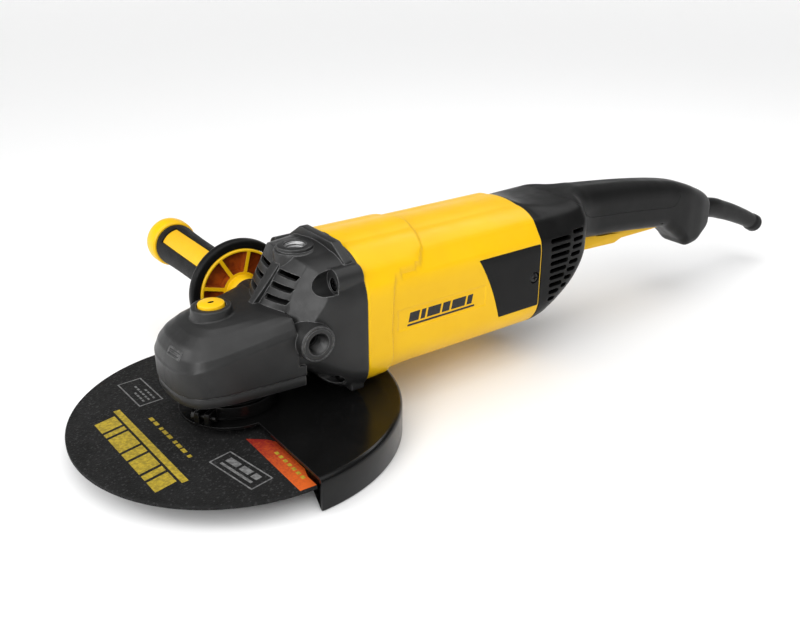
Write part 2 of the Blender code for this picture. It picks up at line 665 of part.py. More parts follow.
def make_bearings_and_baffle(mats):
    """The armature's two bearings and the air baffle in front of the field."""
    at_axis = (0, 0, MOTOR_Z)
    make_bearing("front_armature_bearing", mats, 6.3, 16.0, 46.0, 56.0, at_axis, "X")
    make_bearing("rear_armature_bearing", mats, 5.3, 13.0, 231.0, 240.0, at_axis, "X")
    baffle = [(30.0, 86.0), (45.5, 84.0), (45.5, 96.0), (43.5, 96.0), (43.5, 86.2), (30.0, 88.0)]
    turned("fan_baffle", baffle, mats["black"], at_axis, "X", segments=24)


def make_stator(mats):
    """Laminated field core with two poles, and a saddle coil around each pole."""
    at_axis = (0, 0, MOTOR_Z)
    core = tube("stator_core", 34.5, STATOR_RADIUS, STATOR_START, STATOR_END, mats["core_steel"],
                at_axis, "X", segments=32)
    poles = []
    for side in (-1, 1):
        low, high = sorted((side * 20.0, side * 38.0))
        poles.append(block(f"guide_pole_{side}", (STATOR_START, -11.0, MOTOR_Z + low),
                           (STATOR_END, 11.0, MOTOR_Z + high), None))
    join(core, *poles)
    cut(core, rod("guide_stator_bore", 27.4, STATOR_START - 1, STATOR_END + 1, None, at_axis, "X",
                  segments=32))
    for name, side in (("field_coil_upper", 1), ("field_coil_lower", -1)):
        coil = tube(name, 28.0, 34.0, STATOR_START - 11, STATOR_END + 11, mats["copper"],
                    at_axis, "X", segments=32)
        far = MOTOR_Z - side * 40.0
        near = MOTOR_Z + side * 8.0
        cut(coil,
            block(f"guide_{name}_half", (90.0, -40.0, min(far, near)), (200.0, 40.0, max(far, near)),
                  None),
            block(f"guide_{name}_window",
                  (STATOR_START - 0.4, -11.4, min(near, MOTOR_Z + side * 45.0)),
                  (STATOR_END + 0.4, 11.4, max(near, MOTOR_Z + side * 45.0)), None))


def grown(outline, amount):
    """A convex outline moved outwards by an amount, corner by corner from its middle."""
    middle_x = sum(x for x, _ in outline) / len(outline)
    middle_z = sum(z for _, z in outline) / len(outline)
    return [(x + math.copysign(amount, x - middle_x), z + math.copysign(amount, z - middle_z))
            for x, z in outline]


def make_motor_housing(mats):
    """Yellow housing: a shell with a rear spider for the bearing and two brush windows."""
    housing = loft("motor_housing", sections_to_rings(MOTOR_SECTIONS), mats["yellow"])
    inner = sections_to_rings(stretched(MOTOR_SECTIONS, -2.0, 2.0), inset=WALL)
    cut(housing, loft("guide_motor_room", inner, None))
    spider = [rounded_section(x, *MOTOR_SECTIONS[-1][1:], inset=WALL - 1.0) for x in (241.0, 245.0)]
    join(housing,
         loft("guide_spider", spider, None),
         rod("guide_bearing_cup", 16.5, 230.0, 244.0, None, (0, 0, MOTOR_Z), "X"))
    cup = [(0.0, 229.0), (13.3, 229.0), (13.3, 240.6), (6.0, 240.6), (6.0, 246.0), (0.0, 246.0)]
    cutters = [turned("guide_cup_bore", cup, None, (0, 0, MOTOR_Z), "X", segments=20)]
    for index in range(4):
        start = math.radians(90.0 * index + 14.0)
        stop = math.radians(90.0 * index + 76.0)
        arc = [start + (stop - start) * step / 5 for step in range(6)]
        outline = [(21.0 * math.cos(a), MOTOR_Z + 21.0 * math.sin(a)) for a in arc]
        outline += [(42.0 * math.cos(a), MOTOR_Z + 42.0 * math.sin(a)) for a in reversed(arc)]
        cutters.append(prism(f"guide_spider_window_{index}", outline, 239.0, 247.0, None, axis="X"))
    for side in (-1, 1):
        low, high = sorted((side * 42.6, side * 60.0))
        cutters.append(prism(f"guide_brush_window_{side}", grown(BRUSH_COVER, GAP), low, high, None,
                             axis="Y"))
    cut(housing, *cutters)


def make_brush_gear(mats):
    """Holders, carbon brushes, covers and cover screws on both sides."""
    for name, side in (("left", -1), ("right", 1)):
        low, high = sorted((side * 17.5, side * 42.0))
        holder = block(f"brush_holder_{name}", (BRUSH_X - 6.0, low, MOTOR_Z - 10.0),
                       (BRUSH_X + 6.0, high, MOTOR_Z + 10.0), mats["brass"])
        low, high = sorted((side * 16.0, side * 43.0))
        cut(holder, block(f"guide_holder_{name}", (BRUSH_X - 3.9, low, MOTOR_Z - 8.2),
                          (BRUSH_X + 3.9, high, MOTOR_Z + 8.2), None))
        low, high = sorted((side * 15.3, side * 33.0))
        block(f"carbon_brush_{name}", (BRUSH_X - 3.5, low, MOTOR_Z - 7.8),
              (BRUSH_X + 3.5, high, MOTOR_Z + 7.8), mats["carbon"])

        cover = loft(f"brush_cover_{name}", sections_to_rings(MOTOR_SECTIONS[2:]), mats["black"])
        low, high = sorted((side * 46.0, side * 52.0))
        shape = prism(f"guide_cover_shape_{name}", BRUSH_COVER, low, high, None, axis="Y")
        inner = sections_to_rings(stretched(MOTOR_SECTIONS[2:], -2.0, 2.0), inset=WALL)
        room = loft(f"guide_cover_room_{name}", inner, None)
        keep_inside(cover, shape)
        low, high = sorted((side * 44.0, side * 52.0))
        cut(cover, room,
            rod(f"guide_cover_screw_hole_{name}", 2.3, low, high, None, (241.5, 0, MOTOR_Z), "Y",
                segments=12),
            rod(f"guide_cover_screw_seat_{name}", 4.6, *sorted((side * 48.2, side * 52.0)), None,
                (241.5, 0, MOTOR_Z), "Y", segments=16))
        profile = [(0.0, 43.0), (1.9, 43.0), (1.9, 48.5), (4.2, 48.5), (4.2, 50.2), (0.0, 50.2)]
        turned(f"brush_cover_screw_{name}", [(r, side * h) for r, h in profile], mats["dark_steel"],
               (241.5, 0, MOTOR_Z), "Y", segments=12)


# ---------------------------------------------------------------- rear handle

def pad_zone(name, extra):
    """The soft upper half of the handle: everything above its seam, grown by an amount."""
    seam = [(322.0 - extra, 101.0 - extra), (348.0, 97.5 - extra), (410.0, 90.9 - extra),
            (447.0, 86.0 - extra), (453.0 + extra, 88.5 - extra), (457.0 + extra, 97.0),
            (458.0 + extra, 140.0), (322.0 - extra, 140.0)]
    return prism(name, seam, -60.0, 60.0, None, axis="Y")


def make_handle_shell(name, side, mats):
    """One half of the rear casing and handle, split at y = 0, with its vents."""
    shell = loft(name, sections_to_rings(HANDLE_SECTIONS), mats["black"])
    inner = sections_to_rings(stretched(HANDLE_SECTIONS, -2.0, -1.0), inset=HANDLE_WALL + 0.8)
    low, high = sorted((side * GAP / 2, side * 70.0))
    half = block(f"guide_{name}_half", (230.0, low, 0.0), (530.0, high, 150.0), None)
    skin = loft(f"guide_{name}_skin", sections_to_rings(HANDLE_SECTIONS, inset=-3.0), None)
    keep_inside(skin, pad_zone(f"guide_{name}_zone", GAP))
    cut(skin, loft(f"guide_{name}_under_pad",
                   sections_to_rings(HANDLE_SECTIONS, inset=PAD_THICKNESS + GAP), None))
    cutters = vent_cutters(name, side)
    cut(shell,
        loft(f"guide_{name}_room", inner, None),
        skin,
        block(f"guide_{name}_trigger_slot", (337.5, -9.2, 50.0), (444.0, 9.2, 84.0), None),
        rod(f"guide_{name}_cord_hole", 10.6, 500.0, 520.0, None, (0, 0, CORD_Z), "X"),
        rod(f"guide_{name}_pin_seat", 2.3, -17.2, 17.2, None,
            (TRIGGER_PIVOT[0], 0, TRIGGER_PIVOT[1]), "Y", segments=12),
        *cutters)
    keep_inside(shell, half)


def vent_cutters(name, side):
    """Two columns of air slots in the side of the rear casing."""
    cutters = []
    for column, (start, length, count) in enumerate(((257.5, 19.0, 9), (281.0, 12.5, 8))):
        for row in range(count):
            z = 99.5 - row * 6.2 - column * 1.5
            x = start + max(0, row - 5) * 1.2 * (1 - 2 * column)
            low, high = sorted((side * 26.0, side * 60.0))
            cutters.append(block(f"guide_{name}_vent_{column}_{row}", (x, low, z),
                                 (x + length, high, z + 3.0), None))
    return cutters


def make_handle_pad(name, side, mats):
    """Soft grip skin over one upper half of the handle."""
    pad = loft(name, sections_to_rings(HANDLE_SECTIONS), mats["soft_black"])
    keep_inside(pad, pad_zone(f"guide_{name}_zone", 0.0))
    low, high = sorted((side * GAP / 2, side * 70.0))
    keep_inside(pad, block(f"guide_{name}_half", (300.0, low, 0.0), (530.0, high, 150.0), None))
    cut(pad, loft(f"guide_{name}_under", sections_to_rings(HANDLE_SECTIONS, inset=PAD_THICKNESS),
                  None))


def make_trigger(mats):
    """Paddle hinged at its rear end, its pin, the lock-off lever and the switch."""
    pivot_x, pivot_z = TRIGGER_PIVOT
    outline = [(339.5, 64.6), (342.0, 63.4), (382.0, 61.7), (390.5, 64.8), (434.0, 64.7),
               (441.0, 65.2), (441.0, 72.8), (438.0, 76.0), (432.0, 76.0), (426.0, 74.3),
               (358.0, 74.3), (354.0, 77.2), (343.0, 77.8), (339.5, 75.5)]
    trigger = prism("trigger", outline, -8.5, 8.5, mats["yellow"], axis="Y")
    cut(trigger,
        rod("guide_trigger_bore", 2.4, -10.0, 10.0, None, (pivot_x, 0, pivot_z), "Y", segments=16),
        block("guide_lever_pocket", (355.5, -4.6, 50.0), (384.0, 4.6, 70.4), None))
    set_origin(trigger, (pivot_x, 0, pivot_z))
    rod("trigger_pin", 2.0, -15.5, 15.5, mats["steel"], (pivot_x, 0, pivot_z), "Y", segments=16)

    lever = [(356.5, 65.7), (358.5, 63.9), (380.5, 59.7), (383.1, 61.9), (380.5, 64.9), (362.5, 69.3),
             (358.5, 69.5), (356.5, 67.9)]
    lock_off = prism("lock_off_lever", lever, -4.0, 4.0, mats["yellow"], axis="Y")
    set_origin(lock_off, LOCK_OFF_PIVOT)

    body = [(357.0, 83.8), (410.0, 83.8), (410.0, 105.8), (357.0, 105.8)]
    switch = prism("switch_body", body, -12.0, 12.0, mats["black"], axis="Y")
    cut(switch, block("guide_plunger_room", (SWITCH_X - 5.4, -4.4, 82.8),
                      (SWITCH_X + 5.4, 4.4, 94.8), None))
    block("switch_plunger", (SWITCH_X - 5.0, -4.0, 74.7), (SWITCH_X + 5.0, 4.0, 87.8),
          mats["black"])


def make_cord_guard(mats):
    """Rubber sleeve around the cord, with a collar inside the handle and a drooping tail."""
    # centre x, centre z, outer radius along the sleeve
    stations = [(507.0, 68.0, 10.2), (516.0, 67.9, 10.2), (526.0, 66.6, 10.1), (537.0, 64.0, 10.0),
                (548.0, 60.6, 9.8), (560.0, 56.4, 9.5), (572.0, 51.8, 9.2), (584.0, 47.0, 8.9),
                (595.5, 42.0, 8.6), (607.5, 35.9, 8.4), (609.0, 35.1, 9.5), (616.5, 31.4, 9.7),
                (618.0, 30.7, 8.6)]
    sides = 12
    bore = 5.0
    outer_rings = []
    inner_rings = []
    for index, (x, z, radius) in enumerate(stations):
        before = stations[max(index - 1, 0)]
        after = stations[min(index + 1, len(stations) - 1)]
        along = Vector((after[0] - before[0], 0.0, after[1] - before[1])).normalized()
        sideways = Vector((0.0, 1.0, 0.0))
        up = along.cross(sideways)
        for rings, size in ((outer_rings, radius), (inner_rings, bore)):
            rings.append([Vector((x, 0.0, z)) + size * (math.cos(a) * sideways + math.sin(a) * up)
                          for a in (2 * math.pi * side / sides for side in range(sides))])
    return loft("cord_guard", outer_rings + inner_rings[::-1], mats["soft_black"], closed=True)


# ---------------------------------------------------------------- auxiliary handle

def make_side_handle(mats):
    """Stud, yellow core with its spoked wheel, black ring and black grip sleeve."""
    at_axis = (BOSS_X, 0, MOTOR_Z)
    stud = [(0.0, 38.0), (5.8, 38.0), (6.6, 39.0), (6.6, 80.0), (0.0, 80.0)]
    turned("side_handle_stud", stud, mats["steel"], at_axis, "Y", segments=24)

    wheel_edge = RING_RADIUS - 7.0
    core = [(0.0, 80.4), (7.8, 80.4), (7.8, 54.0), (11.5, 54.0), (12.5, RING_START - 1.0),
            (wheel_edge, RING_START - 1.0), (wheel_edge, RING_END), (14.0, RING_END + 2.0),
            (12.0, 80.0), (12.0, 190.0), (18.0, 191.0), (19.0, 195.0), (19.0, 202.0),
            (15.5, 208.5), (8.0, SIDE_END), (0.0, SIDE_END)]
    handle = turned("side_handle_core", core, mats["yellow"], at_axis, "Y")
    spokes = 8
    gaps = []
    for index in range(spokes):
        middle = 2 * math.pi * (index + 0.5) / spokes
        outline = []
        for radius, half_angle in ((14.0, 0.25), (wheel_edge - 2.0, 0.34)):
            steps = 3
            arc = [middle + half_angle * (2 * step / steps - 1) for step in range(steps + 1)]
            if radius > 20.0:
                arc = arc[::-1]
            outline += [(BOSS_X + radius * math.cos(a), MOTOR_Z + radius * math.sin(a)) for a in arc]
        gaps.append(prism(f"guide_spoke_gap_{index}", outline, RING_START - 4.0, RING_END - 2.2,
                          None, axis="Y"))
    cut(handle, *gaps)

    ring = [(wheel_edge + GAP, RING_START), (RING_RADIUS - 2.0, RING_START),
            (RING_RADIUS, RING_START + 2.5), (RING_RADIUS, RING_END - 2.0),
            (RING_RADIUS - 2.0, RING_END), (wheel_edge + GAP, RING_END)]
    turned("side_handle_ring", ring, mats["soft_black"], at_axis, "Y", segments=40)
    grip = [(12.3, 82.0), (17.5, 80.5), (16.0, 90.0), (15.5, 130.0), (16.5, 170.0), (17.0, 189.0),
            (12.3, 189.6)]
    turned("side_handle_grip", grip, mats["soft_black"], at_axis, "Y")


def main():
    for obj in list(bpy.data.objects):
        bpy.data.objects.remove(obj, do_unlink=True)
    mats = make_materials()
    make_gear_housing(mats)
    make_bearing_cover(mats)
    make_cover_screws(mats)
    make_housing_screws(mats)
    make_spindle_group(mats)
    make_guard(mats)
    make_guard_clamp(mats)
    make_spindle_lock(mats)
    make_armature(mats)
    make_bearings_and_baffle(mats)
    make_stator(mats)
    make_motor_housing(mats)
    make_brush_gear(mats)
    make_handle_shell("handle_left_shell", -1, mats)
    make_handle_shell("handle_right_shell", 1, mats)
    make_handle_pad("handle_left_pad", -1, mats)
    make_handle_pad("handle_right_pad", 1, mats)
    make_trigger(mats)
    make_cord_guard(mats)
    make_side_handle(mats)


main()
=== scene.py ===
"""Looks for the angle grinder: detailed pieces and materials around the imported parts.

Sizes are in millimetres until a mesh is made. Z runs up the spindle and X towards the rear handle.
"""

import math

import bmesh
import bpy
from mathutils import Matrix, Vector


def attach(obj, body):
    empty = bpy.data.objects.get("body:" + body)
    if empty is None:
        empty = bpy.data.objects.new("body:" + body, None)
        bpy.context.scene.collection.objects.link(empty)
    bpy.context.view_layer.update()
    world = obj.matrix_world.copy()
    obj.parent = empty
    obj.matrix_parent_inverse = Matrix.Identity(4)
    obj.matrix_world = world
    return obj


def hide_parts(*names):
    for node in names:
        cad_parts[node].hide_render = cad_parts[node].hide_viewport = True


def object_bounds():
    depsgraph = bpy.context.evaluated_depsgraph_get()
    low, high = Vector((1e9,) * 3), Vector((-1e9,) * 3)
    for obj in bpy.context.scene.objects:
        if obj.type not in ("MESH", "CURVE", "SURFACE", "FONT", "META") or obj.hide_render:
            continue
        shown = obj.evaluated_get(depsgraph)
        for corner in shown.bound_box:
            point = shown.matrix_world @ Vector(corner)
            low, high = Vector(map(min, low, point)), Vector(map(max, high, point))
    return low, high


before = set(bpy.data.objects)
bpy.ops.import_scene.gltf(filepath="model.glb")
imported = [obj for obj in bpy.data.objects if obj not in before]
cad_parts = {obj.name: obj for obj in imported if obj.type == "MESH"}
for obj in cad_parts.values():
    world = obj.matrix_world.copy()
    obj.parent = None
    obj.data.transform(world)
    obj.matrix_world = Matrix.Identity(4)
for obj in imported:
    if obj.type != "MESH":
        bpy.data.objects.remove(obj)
cad_low, cad_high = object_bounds()

MM = 0.001
MOTOR_Z = 75
SEAM_Z = 50
BOSS_X = 42
TOP_BOSS_X = 56
BUTTON_X = -10
HEAD_END = 82
BODY_START = 82.3
BODY_END = 248
HANDLE_START = 248.3
SIDES = (-1, 1)
NAMED_SIDES = (("left", -1), ("right", 1))
AT_MOTOR = (0, 0, MOTOR_Z)
AT_BOSS = (BOSS_X, 0, MOTOR_Z)
SHARP_ANGLE = math.radians(35)


# ---------------------------------------------------------------- mesh helpers

def place_object(name, data):
    """An object in the scene that holds a mesh, light or camera."""
    obj = bpy.data.objects.new(name, data)
    bpy.context.scene.collection.objects.link(obj)
    return obj


def shade(mesh):
    mesh.shade_smooth()
    mesh.set_sharp_from_angle(angle=SHARP_ANGLE)


def mesh_object(name, verts, faces):
    """An object from millimetre points, with its normals outwards and smooth shading."""
    bm = bmesh.new()
    made = [bm.verts.new((x * MM, y * MM, z * MM)) for x, y, z in verts]
    for face in faces:
        bm.faces.new([made[i] for i in face])
    bmesh.ops.remove_doubles(bm, verts=bm.verts, dist=1e-7)
    bmesh.ops.recalc_face_normals(bm, faces=bm.faces)
    mesh = bpy.data.meshes.new(name)
    bm.to_mesh(mesh)
    bm.free()
    shade(mesh)
    return place_object(name, mesh)


def skin(name, rings, closed=False):
    """A surface over rings of equal point count, capped with fans unless it closes on itself."""
    count = len(rings[0])
    rows = len(rings)
    verts = [tuple(point) for ring in rings for point in ring]
    faces = []
    for row in range(rows if closed else rows - 1):
        here, following = row * count, (row + 1) % rows * count
        for i in range(count):
            j = (i + 1) % count
            faces.append((here + i, here + j, following + j, following + i))
    if not closed:
        for row in (0, rows - 1):
            verts.append(tuple(sum(point[axis] for point in rings[row]) / count for axis in range(3)))
            faces += [(row * count + i, row * count + (i + 1) % count, len(verts) - 1)
                      for i in range(count)]
    return mesh_object(name, verts, faces)


def turns(count):
    """Evenly spaced angles round a circle."""
    return [2 * math.pi * k / count for k in range(count)]


def on_axis(axis, radius, height, angle):
    """A point at a radius, height and angle about a world axis."""
    first, second = radius * math.cos(angle), radius * math.sin(angle)
    return {"X": (height, first, second), "Y": (first, height, second), "Z": (first, second, height)}[axis]


def turned(name, profile, centre=(0, 0, 0), axis="Z", segments=64, hollow=False):
    """A turned piece from (radius, height) points: capped at both ends, or a ring if hollow."""
    rings = [[tuple(a + b for a, b in zip(on_axis(axis, radius, height, angle), centre))
              for angle in turns(segments)] for radius, height in profile]
    return skin(name, rings, hollow)


def rod(name, radius, start, end, centre=(0, 0, 0), axis="Z", segments=32):
    return turned(name, [(radius, start), (radius, end)], centre, axis, segments)


def soften(points, radius, closed=True, steps=3):
    """The same outline with its corners rounded."""
    result = []
    count = len(points)
    for i, point in enumerate(points):
        if not closed and i in (0, count - 1):
            result.append(tuple(point))
            continue
        here = Vector(point)
        before = Vector(points[i - 1]) - here
        after = Vector(points[(i + 1) % count]) - here
        reach = min(radius, before.length * 0.45, after.length * 0.45)
        start = here + before.normalized() * reach
        stop = here + after.normalized() * reach
        for step in range(steps + 1):
            t = step / steps
            result.append(tuple((1 - t) ** 2 * start + 2 * t * (1 - t) * here + t * t * stop))
    return result


def inset(outline, amount):
    """A closed outline moved inwards."""
    area = sum(a[0] * b[1] - b[0] * a[1] for a, b in zip(outline, outline[1:] + outline[:1]))
    turn = math.copysign(1, area)
    moved = []
    count = len(outline)
    for i, point in enumerate(outline):
        before, after = Vector(outline[i - 1]), Vector(outline[(i + 1) % count])
        along = (after - before).normalized()
        moved.append((point[0] - turn * along.y * amount, point[1] + turn * along.x * amount))
    return moved


def prism(name, outline, start, end, axis="Z", bevel=0):
    """An outline extruded along a world axis, with bevelled rims if asked."""
    start, end = min(start, end), max(start, end)
    layers = [(0, start), (0, end)]
    if bevel:
        half = bevel * 0.3
        layers = [(bevel, start), (half, start + half), (0, start + bevel), (0, end - bevel),
                  (half, end - half), (bevel, end)]
    rings = []
    for amount, level in layers:
        points = inset(outline, amount) if amount else outline
        rings.append([{"Z": (a, b, level), "Y": (a, level, b), "X": (level, a, b)}[axis]
                      for a, b in points])
    return skin(name, rings)


def rectangle(low, high):
    """The four corners between two points."""
    return [(low[0], low[1]), (high[0], low[1]), (high[0], high[1]), (low[0], high[1])]


def slot_outline(start, end, low, high, steps=6):
    """A straight slot with round ends."""
    radius = (high - low) / 2
    middle = (high + low) / 2
    right = [(end - radius + radius * math.cos(a), middle + radius * math.sin(a))
             for a in (math.pi * (i / steps - 0.5) for i in range(steps + 1))]
    left = [(start + radius + radius * math.cos(a), middle + radius * math.sin(a))
            for a in (math.pi * (i / steps + 0.5) for i in range(steps + 1))]
    return right + left


def circle(radius, count, centre=(0, 0), start=0):
    return [(centre[0] + radius * math.cos(start + angle), centre[1] + radius * math.sin(start + angle))
            for angle in turns(count)]


def block(name, low, high, bevel=0):
    """A box between two corners."""
    outline = rectangle(low[:2], high[:2])
    if bevel:
        outline = soften(outline, bevel * 1.4)
    return prism(name, outline, low[2], high[2], "Z", bevel)


def side_block(name, side, inner, outer, low, high, bevel=0):
    """A box on one side of the middle plane; low and high are its (x, z) corners."""
    near, far = sorted((side * inner, side * outer))
    return block(name, (low[0], near, low[1]), (high[0], far, high[1]), bevel)


def settle(obj):
    """Turn an object's modifiers into its mesh."""
    graph = bpy.context.evaluated_depsgraph_get()
    mesh = bpy.data.meshes.new_from_object(obj.evaluated_get(graph), depsgraph=graph)
    obj.modifiers.clear()
    old = obj.data
    obj.data = mesh
    bpy.data.meshes.remove(old)
    shade(mesh)


def boolean(target, others, operation):
    """Combine an object with helper solids, which are used up."""
    for index, other in enumerate(others):
        modifier = target.modifiers.new(f"{operation}_{index}", "BOOLEAN")
        modifier.operation = operation
        modifier.solver = "MANIFOLD"
        modifier.object = other
    settle(target)
    for other in others:
        mesh = other.data
        bpy.data.objects.remove(other)
        bpy.data.meshes.remove(mesh)


def cut(target, *others):
    boolean(target, others, "DIFFERENCE")


def join(target, *others):
    boolean(target, others, "UNION")


def keep_inside(target, *others):
    boolean(target, others, "INTERSECT")


def cast(target, voxel, rounds, share):
    """Melt an object's edges as a casting's: remesh, smooth and thin out."""
    remesh = target.modifiers.new("remesh", "REMESH")
    remesh.mode = "VOXEL"
    remesh.voxel_size = voxel * MM
    smooth = target.modifiers.new("smooth", "SMOOTH")
    smooth.factor = 0.5
    smooth.iterations = rounds
    thin = target.modifiers.new("thin", "DECIMATE")
    thin.ratio = share
    settle(target)


def pchip(rows, x):
    """The row at x on a smooth curve through rows whose first value is x, without overshoot."""
    if x <= rows[0][0]:
        return list(rows[0][1:])
    if x >= rows[-1][0]:
        return list(rows[-1][1:])
    k = max(i for i in range(len(rows) - 1) if rows[i][0] <= x)
    span = rows[k + 1][0] - rows[k][0]
    t = (x - rows[k][0]) / span
    result = []
    for column in range(1, len(rows[0])):
        def slope(i):
            if i <= 0 or i >= len(rows) - 1:
                return 0
            before = (rows[i][column] - rows[i - 1][column]) / (rows[i][0] - rows[i - 1][0])
            after = (rows[i + 1][column] - rows[i][column]) / (rows[i + 1][0] - rows[i][0])
            return 0 if before * after <= 0 else 2 * before * after / (before + after)
        a, b = rows[k][column], rows[k + 1][column]
        m, n = slope(k) * span, slope(k + 1) * span
        result.append((2 * t ** 3 - 3 * t * t + 1) * a + (t ** 3 - 2 * t * t + t) * m
                      + (3 * t * t - 2 * t ** 3) * b + (t ** 3 - t * t) * n)
    return result


def ramp(value, low, high):
    """0 below low, 1 above high and smooth between."""
    t = min(1, max(0, (value - low) / (high - low)))
    return t * t * (3 - 2 * t)


def linear(table, value):
    """A value read off straight lines between (key, value) pairs."""
    if value <= table[0][0]:
        return table[0][1]
    for (a, p), (b, q) in zip(table, table[1:]):
        if value <= b:
            return p + (q - p) * (value - a) / (b - a)
    return table[-1][1]


# ---------------------------------------------------------------- body sections

# How many points a section has along each corner, each side, the top and the bottom
SECTION_COUNTS = (16, 40, 20, 12)


def section(values, counts=SECTION_COUNTS, grow=0):
    """(y, z, normal y, normal z) around a rounded rectangle with a crowned top."""
    half, top, bottom, top_radius, bottom_radius, crown = values
    half += grow
    top += grow
    bottom -= grow
    top_radius = max(top_radius + grow, 0.5)
    bottom_radius = max(bottom_radius + grow, 0.5)
    corner, side, over, under = counts
    points = []

    def arc(centre_y, centre_z, radius, first):
        for i in range(corner):
            angle = math.radians(first + 90 * i / corner)
            points.append((centre_y + radius * math.cos(angle), centre_z + radius * math.sin(angle),
                           math.cos(angle), math.sin(angle)))

    def line(start, stop, count, normal):
        for i in range(count):
            t = i / count
            points.append((start[0] + (stop[0] - start[0]) * t, start[1] + (stop[1] - start[1]) * t,
                           *normal))

    inner_top = half - top_radius
    inner_bottom = half - bottom_radius
    arc(inner_top, top - top_radius, top_radius, 0)
    for i in range(over):
        share = 1 - 2 * i / over
        points.append((inner_top * share, top + crown * (1 - share * share), 0, 1))
    arc(-inner_top, top - top_radius, top_radius, 90)
    line((-half, top - top_radius), (-half, bottom + bottom_radius), side, (-1, 0))
    arc(-inner_bottom, bottom + bottom_radius, bottom_radius, 180)
    line((-inner_bottom, bottom), (inner_bottom, bottom), under, (0, -1))
    arc(inner_bottom, bottom + bottom_radius, bottom_radius, 270)
    line((half, bottom + bottom_radius), (half, top - top_radius), side, (1, 0))
    return points


# x, half width, top, bottom, top corner radius, bottom corner radius, crown
HEAD_ROWS = (
    (10, 38, 121, 53, 24, 6, 0.5),
    (30, 41.5, 123, 52, 25, 8, 1),
    (43, 44.5, 123.8, 47, 26, 12, 1),
    (60, 48.8, 124.3, 31, 29, 20, 1.5),
    (72, 51, 125.5, 26, 32, 20, 2),
    (HEAD_END, 52, 128, 25, 34, 20, 3),
)
BODY_ROWS = (
    (BODY_START, 50.2, 126.2, 26.8, 32, 24, 2.4),
    (130, 50, 126, 27.5, 32, 27, 2.2),
    (BODY_END, 50, 126, 27.5, 32, 27, 2),
)
HANDLE_ROWS = (
    (HANDLE_START, 50, 125.4, 27.5, 32, 27, 1.8),
    (258, 49.9, 123.8, 29, 31, 27, 1),
    (268, 49.6, 122.8, 34, 30, 26, 0.8),
    (278, 49.2, 122.3, 40.5, 28, 25, 0.8),
    (288, 48.4, 122.2, 49, 26, 23, 0.8),
    (296, 47, 122.3, 59, 24, 20, 0.8),
    (302, 44.6, 122.8, 68, 22, 17, 0.6),
    (307.5, 39, 123.4, 74.5, 20, 15, 0.4),
    (312.5, 31.5, 123.9, 77.3, 19, 14, 0.2),
    (318, 26.5, 124.3, 77.6, 18.5, 13, 0),
    (326, 23.4, 124.4, 77.5, 18, 12, 0),
    (336, 21.2, 123.5, 77.2, 17, 12, 0),
    (348, 20, 122.4, 76.2, 16, 11, 0),
    (390, 19, 118, 72.3, 16, 11, 0),
    (428, 18.5, 112.6, 67.5, 15, 11, 0),
    (444, 18.5, 109.8, 65.6, 15, 11, 0),
    (458, 18.8, 106.8, 57.4, 15, 11, 0),
    (471, 19, 103.2, 48, 15, 10, 0),
    (482, 18.5, 99.2, 39.4, 14, 9, 0),
    (492, 18, 95, 40.3, 14, 9, 0),
    (502, 16.5, 90.5, 45.5, 13, 9, 0),
    (510, 14.5, 85.8, 50, 12, 9, 0),
    (513.5, 12, 82.5, 54, 11, 9, 0),
)
FACET_NORMAL = (0.816, 0.578)            # the chamfer along the body's upper edges, in |y| and z


def facet_clip(y, z, limit):
    """Flatten a section point onto the chamfer plane at a distance from the axis."""
    side = math.copysign(1, y)
    reach = FACET_NORMAL[0] * side * y + FACET_NORMAL[1] * z - limit
    if reach <= 0:
        return y, z
    return y - side * FACET_NORMAL[0] * reach, z - FACET_NORMAL[1] * reach


def loft_rows(name, rows, start, end, step, grow=0, shape=None, counts=SECTION_COUNTS):
    """A solid through smoothly joined sections; shape may move each point."""
    count = max(2, round((end - start) / step) + 1)
    rings = []
    for i in range(count):
        x = start + (end - start) * i / (count - 1)
        ring = []
        for y, z, ny, nz in section(pchip(rows, x), counts, grow):
            if shape:
                y, z = shape(x, y, z, ny, nz)
            ring.append((x, y, z))
        rings.append(ring)
    return skin(name, rings)


# ---------------------------------------------------------------- head casting

NOSE_PLAN = ((-48, 0), (-47.6, 10), (-46.2, 19), (-43, 27), (-38.3, 32.5),
             (-32.6, 35.7), (-19.7, 39.3), (1.7, 41.3), (36, 44.4))


def nose_plan():
    """The nose's whole outline, dense and smooth, from one rear corner round to the other."""
    half = soften(list(NOSE_PLAN), 20, closed=False, steps=5)
    dense = []
    for a, b in zip(half, half[1:]):
        pieces = max(1, round((Vector(b) - Vector(a)).length / 1.5))
        dense += [(a[0] + (b[0] - a[0]) * i / pieces, a[1] + (b[1] - a[1]) * i / pieces)
                  for i in range(pieces)]
    dense.append(half[-1])
    return dense[::-1] + [(x, -y) for x, y in dense[1:]]


PLAN = nose_plan()
NOSE_LENGTH = 84
NOSE_CENTRE = 5                             # the outline shrinks towards this x in the higher levels


NOSE_LEVELS = (                             # scale, height at the tip, height at the rear, curve
    (1, SEAM_Z, SEAM_Z, 1), (1, 58, 66, 1), (1, 65.4, 82.2, 0.75),
    (0.985, 66.8, 83.4, 0.75), (0.94, 74.6, 86.6, 1.1), (0.855, 81, 91.6, 1.8),
    (0.83, 82.2, 92.2, 1.8), (0.7, 87.2, 92.7, 1.3), (0.58, 90.4, 92.9, 1),
    (0.44, 92.6, 93.1, 1), (0.3, 93.6, 93.3, 1), (0.1, 94, 93.4, 1),
)


def nose_ring(scale, tip, rear, power=1):
    """The outline at one level; its height climbs from the tip to the rear."""
    points = []
    for x, y in PLAN:
        share = (x - NOSE_PLAN[0][0]) / NOSE_LENGTH
        points.append((NOSE_CENTRE + (x - NOSE_CENTRE) * scale, y * scale,
                       tip + (rear - tip) * share ** power))
    return points


MARK_SIZE = (15.5, 5.6)
MARK_DEPTHS = (-1.6, 0.38)


